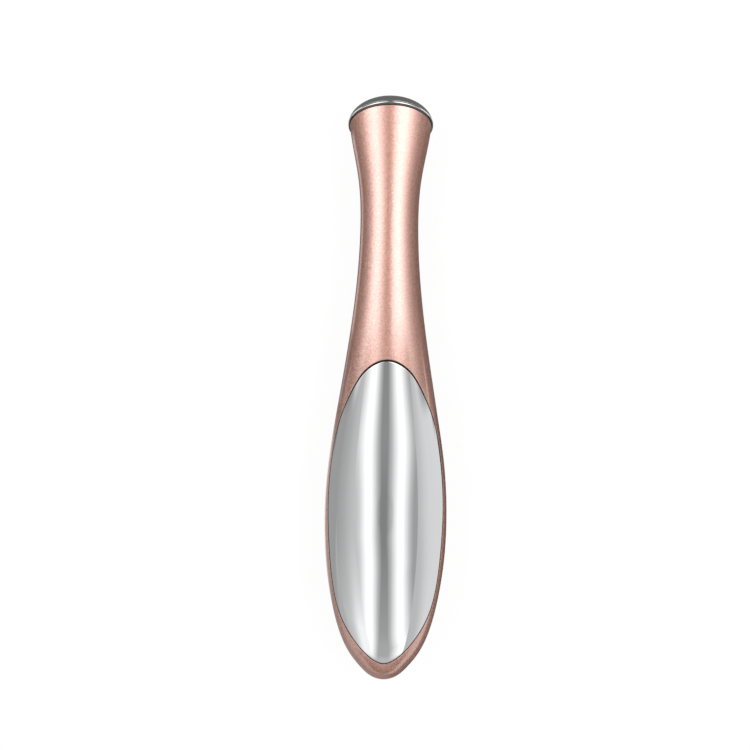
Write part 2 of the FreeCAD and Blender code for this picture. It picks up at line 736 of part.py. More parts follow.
def resistors():
    """Chip resistors round the control chip."""
    made = []
    for x, y in ((-4.4, 11.0), (4.4, 11.0), (-4.2, 14.0), (4.2, 14.0), (-1.2, 18.6), (1.2, 18.6)):
        made.append(box((x - 0.35, y - 0.7, BOARD_HIGH), (x + 0.35, y + 0.7, BOARD_HIGH + 0.35)))
    return Part.makeCompound(made)


def plate_contact():
    """Spring finger from the board to the grip plate: it senses the user's hand."""
    x, y = CONTACT_PLACE
    crest = on_form(x, y).z - PLATE_THICKNESS - 0.3
    half = STRIP_THICKNESS / 2
    path = [
        (y - 1.8, BOARD_HIGH + half),
        (y + 1.5, BOARD_HIGH + half),
        (y + 2.0, BOARD_HIGH + 0.9),
        (y + 1.6, BOARD_HIGH + 2.2),
        (y - 0.9, crest - 1.6),
        (y - 0.8, crest - 0.5),
        (y - 0.2, crest),
        (y + 0.5, crest - 0.3),
        (y + 0.9, crest - 1.1),
    ]
    return bent_strip(path, x - 1.1, x + 1.1)


# ---------------------------------------------------------------- power button and light


def power_button():
    """Button cap: it follows the housing's curve, and its flange keeps it from falling out."""
    shaft = rod(0, BUTTON_PLACE, BUTTON_RADIUS, -2, SEAT_LEVEL + CLEAR)
    shaft = shaft.common(form_solid(-BUTTON_PROUD))
    flange = rod(0, BUTTON_PLACE, 3.7, SEAT_LEVEL + CLEAR, SEAT_LEVEL + 0.6)
    return shaft.fuse(flange).removeSplitter()


def button_ring():
    """Chrome ring set into the housing round the button."""
    ring = rod(0, BUTTON_PLACE, RING_RADIUS, -2, 8).cut(rod(0, BUTTON_PLACE, BUTTON_BORE, -3, 9))
    ring = ring.common(form_solid(-RING_PROUD)).cut(form_solid(RING_DEPTH))
    return ring.common(box((-9, 0, -3), (9, 25, AXIS_HEIGHT)))


SWITCH_LOW = BOARD_LOW - 1.9


def tact_switch():
    """Square tactile switch under the board, with a well for its plunger."""
    y = BUTTON_PLACE
    body = box((-2.6, y - 2.6, SWITCH_LOW), (2.6, y + 2.6, BOARD_LOW))
    return body.cut(rod(0, y, 1.6, SWITCH_LOW - 1, SWITCH_LOW + 1.2))


def switch_plunger():
    """The switch's plunger, which the button pushes."""
    return rod(0, BUTTON_PLACE, 1.4, SEAT_LEVEL + 0.6, SWITCH_LOW + 0.6)


def light_pipe():
    """Clear rod that carries the lamp's light through the housing."""
    pipe = rod(0, LIGHT_PLACE, LIGHT_RADIUS, -1, BOARD_LOW - 0.9)
    flange = rod(0, LIGHT_PLACE, 1.6, BOARD_LOW - 1.6, BOARD_LOW - 0.9)
    return pipe.common(form_solid(-0.1)).fuse(flange).removeSplitter()


def status_lamp():
    """Small chip lamp under the board, over the light pipe."""
    y = LIGHT_PLACE
    return box((-0.8, y - 0.6, BOARD_LOW - 0.8), (0.8, y + 0.6, BOARD_LOW))


# ---------------------------------------------------------------- leads


def mirrored_pair(route):
    """Two leads, one each side of the wand's middle."""
    return Part.makeCompound([tube([(side * x, y, z) for x, y, z in route], LEAD_RADIUS) for side in (1, -1)])


def heater_leads():
    """Two leads from the board, past the motor, to the heater."""
    route = [
        (3.6, 25.4, 9.7),
        (3.7, 29.0, 10.0),
        (4.2, 36.0, 10.3),
        (4.3, 42.0, 10.35),
        (4.3, 49.0, 10.35),
        (4.2, 54.0, 10.6),
        head_point(1.6, 1.0, -2.6),
        head_point(1.6, 1.0, CAP_FLAT_LEVEL - 1.7),
    ]
    return mirrored_pair(route)


def sensor_leads():
    """Two leads from the board to the heat sensor, below the heater's."""
    route = [
        (3.2, 25.0, BOARD_LOW),
        (3.2, 25.0, 7.3),
        (3.5, 29.0, 7.5),
        (4.0, 35.0, 9.0),
        (4.3, 42.0, 9.25),
        (4.3, 49.0, 9.25),
        (4.1, 54.0, 8.9),
        head_point(0.6, -1.2, -2.6),
        head_point(0.5, -0.2, -0.6),
        head_point(0.5, -0.1, 0.9),
    ]
    return mirrored_pair(route)


def motor_leads():
    """Two short leads from the board to the motor."""
    route = [
        (1.3, 25.9, 9.7),
        (1.5, 29.0, 10.9),
        (1.2, 33.0, 10.4),
        (1.1, 35.5, 10.2),
        (1.1, MOTOR_TAIL - 1.5, 10.2),
    ]
    return mirrored_pair(route)


def negative_lead():
    """Lead from the battery's tail end, under the tray's flange, to the board."""
    route = [
        (-2.9, TRAY_TAIL - 0.6, 6.55),
        (-2.9, TRAY_TAIL - 1.2, 6.55),
        (-4.3, TRAY_TAIL - 1.2, 6.2),
        (-5.2, -57.1, 5.4),
        (-5.5, -53.5, 5.1),
        (-5.6, -48.0, 4.9),
        (-5.6, -12.0, 4.9),
        (-5.3, -6.0, 5.2),
        (-4.7, -3.2, 6.2),
        (-4.6, -2.6, 7.4),
        (-4.6, -2.6, BOARD_LOW),
    ]
    return tube(route, LEAD_RADIUS)


def positive_lead():
    """Short lead from the battery's nub end to the board."""
    route = [
        (2.9, TRAY_NECK + 0.6, 6.55),
        (2.9, TRAY_NECK + 1.6, 6.55),
        (3.6, -2.6, 6.7),
        (3.6, -2.4, 7.6),
        (3.6, -2.4, BOARD_LOW),
    ]
    return tube(route, LEAD_RADIUS)


# ---------------------------------------------------------------- all nodes

NODES = {
    "housing": housing,
    "grip_plate": grip_plate,
    "cover_liner": cover_liner,
    "head_cap": head_cap,
    "head_collar": head_collar,
    "head_screws": head_screws,
    "thermal_pad": thermal_pad,
    "heater_disc": heater_disc,
    "heater_backplate": heater_backplate,
    "heat_sensor": heat_sensor,
    "heater_cushion": heater_cushion,
    "motor_can": motor_can,
    "motor_endcap": motor_endcap,
    "motor_shaft": motor_shaft,
    "vibration_weight": vibration_weight,
    "motor_sleeve": motor_sleeve,
    "battery_can": battery_can,
    "battery_jacket": battery_jacket,
    "battery_tray": battery_tray,
    "negative_plate": negative_plate,
    "battery_spring": battery_spring,
    "positive_plate": positive_plate,
    "battery_foam": battery_foam,
    "tray_screws": tray_screws,
    "circuit_board": circuit_board,
    "board_screws": board_screws,
    "control_chip": control_chip,
    "boost_coil": boost_coil,
    "capacitors": capacitors,
    "resistors": resistors,
    "plate_contact": plate_contact,
    "power_button": power_button,
    "button_ring": button_ring,
    "tact_switch": tact_switch,
    "switch_plunger": switch_plunger,
    "light_pipe": light_pipe,
    "status_lamp": status_lamp,
    "heater_leads": heater_leads,
    "sensor_leads": sensor_leads,
    "motor_leads": motor_leads,
    "negative_lead": negative_lead,
    "positive_lead": positive_lead,
}


def main():
    os.makedirs("parts", exist_ok=True)
    for name, make in NODES.items():
        shape = make()
        solids = shape.Solids
        state = "ok" if shape.isValid() and all(s.isValid() for s in solids) else "NOT VALID"
        print(f"{name:18s} {len(solids)} solid(s) {shape.Volume:9.2f} mm3 {state}")
        shape.exportStep(f"parts/{name}.step")


main()
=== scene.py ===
# %% [markdown]
# # A heated eye massager wand
# The solids of this wand already exist: they were modelled in millimetres and packed as a fixed frame.
# This lesson dresses them. The large glossy skins are worked out again as exact surfaces, because a
# mirror shows every facet. The small parts inside keep their solids and only get finishes.

# %% Load the frame
import json
import math

import bpy
import numpy as np
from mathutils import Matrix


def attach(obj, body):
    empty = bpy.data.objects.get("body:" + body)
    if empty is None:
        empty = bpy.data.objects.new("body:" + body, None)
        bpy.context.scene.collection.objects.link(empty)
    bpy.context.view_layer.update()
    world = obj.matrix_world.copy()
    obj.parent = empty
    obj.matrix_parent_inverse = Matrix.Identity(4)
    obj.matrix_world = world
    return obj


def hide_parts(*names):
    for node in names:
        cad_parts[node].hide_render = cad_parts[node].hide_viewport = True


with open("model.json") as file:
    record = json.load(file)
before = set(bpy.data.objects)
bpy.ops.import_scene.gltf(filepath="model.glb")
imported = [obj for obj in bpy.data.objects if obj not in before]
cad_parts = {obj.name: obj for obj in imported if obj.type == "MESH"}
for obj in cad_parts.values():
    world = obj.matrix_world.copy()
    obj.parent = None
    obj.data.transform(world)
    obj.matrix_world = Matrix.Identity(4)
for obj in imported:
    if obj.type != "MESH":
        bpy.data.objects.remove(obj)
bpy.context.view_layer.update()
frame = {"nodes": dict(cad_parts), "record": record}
nodes = frame["nodes"]
MM = 0.001

# %% [markdown]
# ## The outer form
# The wand's skin is one surface whose cross-sections are ellipses. A handful of stations give the half
# width, the underside and the top at places along the wand, and a smooth cubic curve joins them. A cubic
# spline was chosen because its curvature changes without jumps, so the bands of light on the finished
# skin run without kinks.

# %% Stations along the wand, in millimetres
# (place along the wand, half width, height of the underside, height of the top)
BODY_STATIONS = np.array([
    (-67.5, 0.0, 9.2, 9.2),
    (-66.6, 3.1, 6.9, 11.5),
    (-64.7, 5.3, 5.3, 13.2),
    (-61.0, 8.2, 3.25, 15.45),
    (-55.5, 10.65, 1.55, 17.35),
    (-48.0, 12.5, 0.35, 19.05),
    (-40.0, 13.65, -0.2, 20.2),
    (-29.6, 14.1, -0.4, 20.8),
    (-18.5, 13.5, -0.2, 20.2),
    (-7.4, 11.9, 0.5, 18.9),
    (7.4, 9.5, 2.0, 17.3),
    (22.2, 7.57, 3.3, 16.2),
    (37.0, 6.7, 3.8, 15.8),
    (48.0, 7.28, 3.4, 16.2),
    (55.5, 8.65, 2.4, 17.2),
    (61.0, 9.55, 1.65, 17.85),
    (70.0, 10.6, 0.9, 18.6),
])
# Half thickness gained per half width at the tail's very end, and the height of the wand's axis
TAIL_BLUNTNESS, AXIS_HEIGHT = 0.74, 9.8

# (place along the wand, half width) of the grip plate's outline, from its neck end to its tail end
PLATE_STATIONS = np.array([
    (6.1, 0.0),
    (4.9, 3.6),
    (1.85, 6.6),
    (-3.7, 9.45),
    (-11.1, 11.75),
    (-22.0, 13.1),
    (-33.0, 13.15),
    (-44.5, 12.15),
    (-52.5, 10.2),
    (-58.0, 7.2),
    (-62.0, 3.7),
    (-63.8, 0.0),
])
PLATE_MIDDLE = -29.0
print("stations", len(BODY_STATIONS), "outline points", len(PLATE_STATIONS))


# %% Cubic curves through given points
def hermite(knots, values, slopes, at):
    """Cubic pieces between knots, from the values and slopes at both ends of each piece."""
    i = np.clip(np.searchsorted(knots, at, side="right") - 1, 0, len(knots) - 2)
    h = knots[i + 1] - knots[i]
    s = ((at - knots[i]) / h)[..., None]
    h = h[..., None]
    low, high, m0, m1 = values[i], values[i + 1], slopes[i] * h, slopes[i + 1] * h
    point = (2 * s**3 - 3 * s**2 + 1) * low + (s**3 - 2 * s**2 + s) * m0
    point += (3 * s**2 - 2 * s**3) * high + (s**3 - s**2) * m1
    slope = (6 * s**2 - 6 * s) * (low - high) + (3 * s**2 - 4 * s + 1) * m0 + (3 * s**2 - 2 * s) * m1
    return point, slope / h


def clamped_slopes(knots, values, first, last):
    """Slopes that make the second derivative continuous, with the two end slopes given."""
    n, h = len(knots), np.diff(knots)
    matrix, right = np.eye(n), np.zeros_like(values)
    right[0], right[-1] = first, last
    for i in range(1, n - 1):
        matrix[i, i - 1 : i + 2] = 1 / h[i - 1], 2 / h[i - 1] + 2 / h[i], 1 / h[i]
        rise = (values[i] - values[i - 1]) / h[i - 1] ** 2 + (values[i + 1] - values[i]) / h[i] ** 2
        right[i] = 3 * rise
    return np.linalg.solve(matrix, right)


def closed_slopes(values):
    """The same for a closed curve whose knots are one apart."""
    n = len(values)
    matrix = 4 * np.eye(n) + np.roll(np.eye(n), 1, 1) + np.roll(np.eye(n), -1, 1)
    return np.linalg.solve(matrix, 3 * (np.roll(values, -1, 0) - np.roll(values, 1, 0)))


# %% The skin as a function of two numbers
places, widths = BODY_STATIONS[:, 0], BODY_STATIONS[:, 1]
thick = (BODY_STATIONS[:, 3] - BODY_STATIONS[:, 2]) / 2
middle = (BODY_STATIONS[:, 3] + BODY_STATIONS[:, 2]) / 2
SKIN_KNOTS = np.concatenate([[0], np.cumsum(np.hypot(np.diff(places), np.diff(widths)))])
SKIN_VALUES = np.stack([widths, thick, middle, places], 1)
last_run = places[-1] - places[-2]
SKIN_SLOPES = clamped_slopes(
    SKIN_KNOTS,
    SKIN_VALUES,
    [1, TAIL_BLUNTNESS, 0, 0],
    [(widths[-1] - widths[-2]) / last_run, (thick[-1] - thick[-2]) / last_run, 0, 1],
)
T_TABLE = np.linspace(0, SKIN_KNOTS[-1], 20001)
Y_TABLE = hermite(SKIN_KNOTS, SKIN_VALUES, SKIN_SLOPES, T_TABLE)[0][:, 3]


def along(y):
    """The skin's first parameter at a place along the wand."""
    return np.interp(y, Y_TABLE, T_TABLE)


def sections(t):
    """Half width, half thickness, middle height and place along the wand at t, and their slopes."""
    return hermite(SKIN_KNOTS, SKIN_VALUES, SKIN_SLOPES, t)


def skin(t, angle, depth=0.0):
    """Point and outward normal: x = a cos, z = c + b sin, with a, b, c and y read from the splines at t.

    The normal is the cross product of the two partial derivatives, and depth moves the point inwards.
    """
    t, angle = np.broadcast_arrays(np.asarray(t, float), angle)
    (a, b, c, y), (da, db, dc, dy) = (np.moveaxis(v, -1, 0) for v in sections(t))
    cos, sin = np.cos(angle), np.sin(angle)
    point = np.stack([a * cos, y, c + b * sin], -1)
    tiny = 1e-9
    round_it = np.stack([-(a + tiny) * sin, 0 * a, (b + TAIL_BLUNTNESS * tiny) * cos], -1)
    down_it = np.stack([da * cos, dy, dc + db * sin], -1)
    normal = np.cross(down_it, round_it)
    normal /= np.linalg.norm(normal, axis=-1, keepdims=True)
    return point - normal * depth, normal


def angle_at(x, y):
    """The skin's second parameter above a point in plan, on the upper half."""
    return np.arccos(np.clip(x / sections(along(y))[0][..., 0], -1, 1))


print("widest", round(float(2 * np.max(skin(T_TABLE, 0)[0][:, 0])), 2), "mm")

# %% [markdown]
# ## The seam
# The grip plate and the handle are cut from the same skin, so one curve serves both. At each point of the
# seam there are three directions: along it, away from the plate within the skin, and into the wand.
# Every edge is then a short profile of (outwards, inwards) pairs carried along the seam, which gives
# both parts rounded lips that catch the light, and a hairline between them, dark from its depth and from
# the painted shade on its walls.

# %% Points and directions along the seam
right_side = PLATE_STATIONS[:, ::-1]
left_side = right_side[-2:0:-1] * [-1, 1]
OUTLINE = np.concatenate([right_side, left_side])
OUTLINE_KNOTS = np.arange(len(OUTLINE) + 1.0)
OUTLINE_SLOPES = closed_slopes(OUTLINE)
HALF_LOOP = len(PLATE_STATIONS) - 1


def seam(s):
    """Point, outward and inward directions, at parameter s of the closed outline."""
    values = np.concatenate([OUTLINE, OUTLINE[:1]])
    slopes = np.concatenate([OUTLINE_SLOPES, OUTLINE_SLOPES[:1]])
    plan, heading = hermite(OUTLINE_KNOTS, values, slopes, s)
    x, y = plan[..., 0], plan[..., 1]
    point, normal = skin(along(y), angle_at(x, y))
    rise = -(normal[..., :2] * heading).sum(-1) / normal[..., 2]
    ahead = np.concatenate([heading, rise[..., None]], -1)
    ahead /= np.linalg.norm(ahead, axis=-1, keepdims=True)
    outwards = np.cross(ahead, normal)
    towards = outwards[..., 0] * x + outwards[..., 1] * (y - PLATE_MIDDLE)
    outwards *= np.where(towards < 0, -1.0, 1.0)[..., None]
    return point, outwards, -normal


def seam_place(s, out):
    """(x, y) in plan of the seam moved outwards within the skin."""
    point, outwards, _ = seam(s)
    moved = point + outwards * np.asarray(out)[..., None]
    return moved[..., 0], moved[..., 1]


def seam_strip(s, profile):
    """Rows of points that carry (outwards, inwards) pairs along the seam: single numbers, or one for each s."""
    point, outwards, inwards = seam(s)
    pairs = [(np.asarray(o)[..., None], np.asarray(d)[..., None]) for o, d in profile]
    return np.stack([point + outwards * o + inwards * d for o, d in pairs], 0)


def rounding(out, radius, sign, steps=6):
    """(outwards, inwards) pairs of a quarter circle that turns from the skin into a wall at out."""
    turn = np.linspace(0, math.pi / 2, steps)
    return [(out + sign * radius * (1 - math.sin(a)), radius * (1 - math.cos(a))) for a in turn]


loop = seam(np.linspace(0, 2 * HALF_LOOP, 2001))[0]
print("seam", round(float(np.linalg.norm(np.diff(loop, axis=0), axis=1).sum()), 1), "mm round")

# %% [markdown]
# ## Turning grids of points into meshes
# All new pieces are grids of points. One helper joins any number of grids, merges the points they share
# and drops faces that shrink to nothing at a pole, so each piece comes out closed. A closed mesh has a
# signed volume, which is below zero where its faces point inwards, so the helper turns such a mesh round.

# %% Mesh from grids
SHARP_ANGLE = 35.0


def grid_quads(rows, columns, offset):
    """Corner numbers of the quads between neighbouring rows and columns."""
    r, c = np.meshgrid(np.arange(rows - 1), np.arange(columns - 1), indexing="ij")
    corner = (r * columns + c).ravel() + offset
    return np.stack([corner, corner + 1, corner + columns + 1, corner + columns], 1)


def mirrored(grid):
    """The same grid on the other side of the wand's middle plane, with its faces still outwards."""
    return (grid * [-1, 1, 1])[::-1]


def signed_volume(mesh):
    """Volume inside a closed mesh: a sixth of the sum of the triple products of its triangles."""
    mesh.calc_loop_triangles()
    co = np.empty(len(mesh.vertices) * 3)
    mesh.vertices.foreach_get("co", co)
    tri = np.empty(len(mesh.loop_triangles) * 3, int)
    mesh.loop_triangles.foreach_get("vertices", tri)
    a, b, c = co.reshape(-1, 3)[tri.reshape(-1, 3)].transpose(1, 0, 2)
    return float((a * np.cross(b, c)).sum() / 6)


def new_object(name, data):
    """An object in the scene, at the origin."""
    thing = bpy.data.objects.new(name, data)
    bpy.context.scene.collection.objects.link(thing)
    return thing


def mesh_from_grids(name, grids, sharp=SHARP_ANGLE, merge=2e-5, finishes=None):
    """One mesh, in metres, from grids of points in millimetres, with a finish number for each grid."""
    points = np.concatenate([g.reshape(-1, 3) for g in grids])
    quads, finish_of, offset = [], [], 0
    for g, number in zip(grids, finishes or [0] * len(grids)):
        quads.append(grid_quads(g.shape[0], g.shape[1], offset))
        finish_of.append(np.full(len(quads[-1]), number))
        offset += g.shape[0] * g.shape[1]
    quads, finish_of = np.concatenate(quads), np.concatenate(finish_of)
    keys = np.round(points / merge).astype(np.int64)
    _, first, number = np.unique(keys, axis=0, return_index=True, return_inverse=True)
    corners = number.reshape(-1)[quads]
    points = points[first] * MM
    distinct = corners != np.roll(corners, -1, 1)
    whole, pointed = distinct.sum(1) == 4, distinct.sum(1) == 3
    faces = corners[whole].tolist()
    faces += [[c for c, d in zip(f, k) if d] for f, k in zip(corners[pointed], distinct[pointed])]
    mesh = bpy.data.meshes.new(name)
    mesh.from_pydata(points, [], faces)
    finish_of = np.concatenate([finish_of[whole], finish_of[pointed]])
    mesh.polygons.foreach_set("material_index", finish_of)
    mesh.validate()
    mesh.shade_smooth()
    mesh.set_sharp_from_angle(angle=math.radians(sharp))
    volume = signed_volume(mesh)
    if volume < 0:
        mesh.flip_normals()
    print(f"{name}: {len(points)} points, {len(faces)} faces, {abs(volume) * 1e9:.0f} mm3")
    return new_object(name, mesh)


def finish_piece(piece, materials, body, slot, *replaced):
    """Material or materials, body and the nodes that a piece stands for; slot is not used."""
    numbers = np.zeros(len(piece.data.polygons), int)
    piece.data.polygons.foreach_get("material_index", numbers)
    piece.data.materials.clear()
    for material in materials if isinstance(materials, tuple) else (materials,):
        piece.data.materials.append(material)
    piece.data.polygons.foreach_set("material_index", numbers)
    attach(piece, body)
    if replaced:
        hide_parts(*replaced)
    return piece


# %% [markdown]
# ## Shader helpers
# Finishes are node trees on object coordinates, which are metres in the wand's own frame, so a grain
# scale can be read as grains per metre. A few helpers keep the trees short. An input of a node is given
# by its name or its place, and takes a plain value or another node's output in the same way. A number
# that nodes work out can be added and multiplied with plain signs, and each sign becomes a Math node.

# %% Node helpers
FLOAT, COLOUR, VECTOR = "NodeSocketFloat", "NodeSocketColor", "NodeSocketVector"


def feed(tree, node, *inputs, **values):
    """Gives a node its first inputs in order, and settings and other inputs by name."""
    for key in [key for key in values if key in node.bl_rna.properties]:
        setattr(node, key, values.pop(key))
    named = [(node.inputs[key.replace("_", " ")], value) for key, value in values.items()]
    for socket, value in [*zip(node.inputs, inputs), *named]:
        value = getattr(value, "socket", value)
        if isinstance(value, bpy.types.NodeSocket):
            tree.links.new(value, socket)
        else:
            socket.default_value = value
    return node


def add(tree, kind, *inputs, **values):
    """A new node, fed in the same way."""
    return feed(tree, tree.nodes.new(kind), *inputs, **values)


class Number:
    """A number that nodes work out, in the tree of its socket. Each sign used on it adds a Math node."""

    def __init__(self, socket):
        self.socket, self.tree = socket, socket.id_data

    def __add__(self, other):
        return maths("ADD", self, other)

    def __sub__(self, other):
        return maths("SUBTRACT", self, other)

    def __rsub__(self, other):
        return maths("SUBTRACT", other, self)

    def __mul__(self, other):
        return maths("MULTIPLY", self, other)

    def __truediv__(self, other):
        return maths("DIVIDE", self, other)


def maths(operation, *values):
    """The result of one Math node, of which at least one value is a Number."""
    tree = next(value.tree for value in values if isinstance(value, Number))
    return Number(add(tree, "ShaderNodeMath", *values, operation=operation).outputs[0])


def vector_node(tree, operation, *inputs, **values):
    """The result of one sum on vectors."""
    return add(tree, "ShaderNodeVectorMath", *inputs, operation=operation, **values).outputs[0]


def new_material(name):
    """A material, its node tree and its Principled shader."""
    material = bpy.data.materials.new(name)
    material.use_nodes = True
    return material, material.node_tree, material.node_tree.nodes["Principled BSDF"]


def new_group(name, inputs, outputs):
    """A shader node group with (name, type, default) inputs and (name, type) outputs, and its inner sockets."""
    group = bpy.data.node_groups.new(name, "ShaderNodeTree")
    for label, kind, default in inputs:
        socket = group.interface.new_socket(label, in_out="INPUT", socket_type=kind)
        socket.default_value = default
    for label, kind in outputs:
        group.interface.new_socket(label, in_out="OUTPUT", socket_type=kind)
    return group, group.nodes.new("NodeGroupInput").outputs, group.nodes.new("NodeGroupOutput")


# %% [markdown]
# ### Pearl flakes
# Metallic paint is a clear lacquer full of tiny mirrors that do not lie quite flat. A cell texture gives
# each flake one random colour. Read as a vector, that colour tips the surface normal a little, and read
# as a value, it makes a flake lighter or darker than its neighbours.

# %% Flake group
flakes, given, made = new_group(
    "pearl flakes",
    [("Flakes per metre", FLOAT, 3300.0), ("Tilt", FLOAT, 0.12), ("Glitter", FLOAT, 0.2)],
    [("Normal", VECTOR), ("Value", FLOAT)],
)
place = add(flakes, "ShaderNodeTexCoord").outputs["Object"]
cells = add(flakes, "ShaderNodeTexVoronoi", Vector=place, Scale=given["Flakes per metre"]).outputs["Color"]
centred = vector_node(flakes, "SUBTRACT", cells, (0.5, 0.5, 0.5))
tipped = vector_node(flakes, "SCALE", centred, Scale=given["Tilt"])
surface = add(flakes, "ShaderNodeNewGeometry").outputs["Normal"]
normal = vector_node(flakes, "NORMALIZE", vector_node(flakes, "ADD", surface, tipped))
shade = Number(add(flakes, "ShaderNodeSeparateColor", cells).outputs[0])
feed(flakes, made, Normal=normal, Value=(shade - 0.5) * given["Glitter"] + 1.0)
print("flake group:", len(flakes.nodes), "nodes")

# %% [markdown]
# ### Grain and smudges
# Moulded plastic, rubber and ground steel each have a fine grain, and anything that is handled carries
# faint smudges that change how sharply it reflects. Both are noise, so one group serves every material.

# %% Grain group
SMUDGE_RANGE = dict(From_Min=0.3, From_Max=0.7)
grain, given, made = new_group(
    "grain and smudges",
    [
        ("Grains per metre", FLOAT, 4000.0),
        ("Stretch", VECTOR, (1.0, 1.0, 1.0)),
        ("Smudges per metre", FLOAT, 90.0),
        ("Lowest", FLOAT, 0.3),
        ("Highest", FLOAT, 0.4),
        ("Shade", FLOAT, 0.1),
        ("Base", COLOUR, (0.5, 0.5, 0.5, 1.0)),
    ],
    [("Height", FLOAT), ("Roughness", FLOAT), ("Colour", COLOUR)],
)
place = add(grain, "ShaderNodeTexCoord").outputs["Object"]
stretched = vector_node(grain, "MULTIPLY", place, given["Stretch"])
fine = add(grain, "ShaderNodeTexNoise", stretched, Scale=given["Grains per metre"], Detail=2.0).outputs[0]
broad = add(grain, "ShaderNodeTexNoise", place, Scale=given["Smudges per metre"], Detail=3.0).outputs[0]
rough = add(grain, "ShaderNodeMapRange", broad, To_Min=given["Lowest"], To_Max=given["Highest"], **SMUDGE_RANGE)
swing = (Number(fine) + broad - 1.0) * given["Shade"]
tinted = vector_node(grain, "SCALE", given["Base"], Scale=swing + 1.0)
feed(grain, made, Height=fine, Roughness=rough.outputs[0], Colour=tinted)
print("grain group:", len(grain.nodes), "nodes")


# %% One maker for every plain finish
def finish(name, colour, metallic=0.0, rough=(0.3, 0.4), grains=4000.0, stretch=(1, 1, 1), bump=0.02,
           shade=0.1, smudges=90.0, bump_reach=0.00002, **constants):
    """A Principled finish with grain in its height, roughness and colour."""
    material, tree, shader = new_material(name)
    group = add(
        tree, "ShaderNodeGroup", node_tree=grain, Grains_per_metre=grains, Stretch=stretch,
        Smudges_per_metre=smudges, Lowest=rough[0], Highest=rough[1], Shade=shade, Base=(*colour, 1.0),
    ).outputs
    relief = add(tree, "ShaderNodeBump", Strength=bump, Distance=bump_reach, Height=group["Height"])
    feed(tree, shader, Base_Color=group["Colour"], Roughness=group["Roughness"], Normal=relief.outputs[0],
         Metallic=metallic, **constants)
    return material


# %% [markdown]
# ## Rose-gold paint
# The handle is painted in a pink metallic under a clear lacquer. The flakes give the grain, a fairly
# rough metal gives the broad soft bands along the neck, and the coat adds the whiter core of each band.

# %% Paint
PINK = (0.535, 0.263, 0.198)
paint, tree, shader = new_material("rose gold pearl paint")
group = add(tree, "ShaderNodeGroup", node_tree=flakes, Flakes_per_metre=3800.0, Tilt=0.11, Glitter=0.42).outputs
pink = vector_node(tree, "SCALE", PINK, Scale=group["Value"])
feed(tree, shader, Base_Color=pink, Normal=group["Normal"], Metallic=0.75, Roughness=0.42,
     Coat_Weight=1.0, Coat_IOR=2.4, Coat_Roughness=0.12)
print("paint:", len(tree.nodes), "nodes")

# %% [markdown]
# ## Chrome
# Chrome plating is a grey mirror that gives back about two thirds of what it faces. It has no grain, and
# only the smudges of handling keep it from being perfect. The cap's chrome is a shade warmer than the plate's.

# %% Chrome
MIRROR = dict(metallic=1.0, grains=700.0, bump=0.0, shade=0.01, smudges=60.0)
chrome = finish("mirror chrome", (0.66, 0.665, 0.67), rough=(0.025, 0.05), **MIRROR)
cap_chrome = finish("cap chrome", (0.64, 0.64, 0.63), rough=(0.02, 0.05), **MIRROR)
print("chrome finishes:", chrome.name, "and", cap_chrome.name)

# %% [markdown]
# ## The handle
# The handle is a thin moulding, open at the head and above the battery. Its outer skin is a grid: rows run
# round the wand, and where the grip plate is let in they start at the seam instead of at the top. The
# inner wall is the same grid one wall thickness deeper. A strip along the seam carries the rounded lip, the
# wall down to the ledge and the ledge itself, and a ring closes the rim at the head.

# %% Sizes of the handle, in millimetres
WALL = 1.6
SEAM_HALF_GAP, FLANK_GAP = 0.09, 0.22
NAIL_GAP, NAIL_REACH = 0.24, 12.0
LIP_ROUND, LIP_ROUND_MORE, LIP_LAND = 0.05, 0.15, 0.02
SEAM_WALL_ROWS = (0.5, 0.9)
LEDGE_DEPTH, LEDGE_THICKNESS, LEDGE_REACH = 1.35, 0.9, 1.0
INNER_EDGE, INNER_BEVEL = 1.6, 0.1
HEAD_TILT = math.radians(32)
HEAD_CENTRE = np.array([0, 60.45, 10.33])
HEAD_AXIS = np.array([0, math.cos(HEAD_TILT), -math.sin(HEAD_TILT)])
JOINT_DROP = 0.25
COLUMNS = 64
print("the head leans", round(math.degrees(HEAD_TILT)), "degrees")


# %% Rows of the skin on the wand's right side
def rim_place(angle, depth, guess=60.0, rounds=12):
    """Place along the wand where the skin meets the head's plane, by repeated correction."""
    y = np.full_like(angle, guess)
    for _ in range(rounds):
        point = skin(along(y), angle, depth)[0]
        y -= ((point - HEAD_CENTRE) @ HEAD_AXIS + JOINT_DROP) / HEAD_AXIS[1]
    return y


def half_skin(out, depth, neck_rows=110, seam_rows=220, tail_rows=20):
    """Grid of one side: from the rim to the plate's tip, along the seam, and on to the tail's pole."""
    s = np.linspace(0, HALF_LOOP, seam_rows)
    x, y = seam_place(s, out(s))
    x[[0, -1]] = 0
    start = angle_at(x, y)
    share = np.linspace(0, 1, COLUMNS)
    full = math.pi / 2 - math.pi * share
    neck = np.linspace(0, 1, neck_rows)[:-1, None]
    neck_t = along(rim_place(full, depth))[None] * (1 - neck) + along(y[0]) * neck
    seam_angle = start[:, None] * (1 - share) - math.pi / 2 * share
    tail = np.linspace(0, 1, tail_rows)[1:, None]
    tail_t = along(y[-1]) * (1 - tail) * np.ones(COLUMNS)
    t = np.concatenate([neck_t, np.repeat(along(y)[:, None], COLUMNS, 1), tail_t])
    around = np.ones((len(t), 1))
    angle = np.concatenate([around[: len(neck)] * full, seam_angle, around[: tail_rows - 1] * full])
    points = skin(t, angle, depth)[0]
    if depth == 0:  # the back has a flat on which the wand rests, at Z = 0
        points[..., 2] = np.maximum(points[..., 2], 0)
    return points, (len(neck), len(neck) + seam_rows)


# %% [markdown]
# The seam is a hairline, but not the same all along. It opens at the neck end, where a fingernail lifts the
# plate, and a little on the flanks, where the skin turns away and a narrow gap would close to the eye.


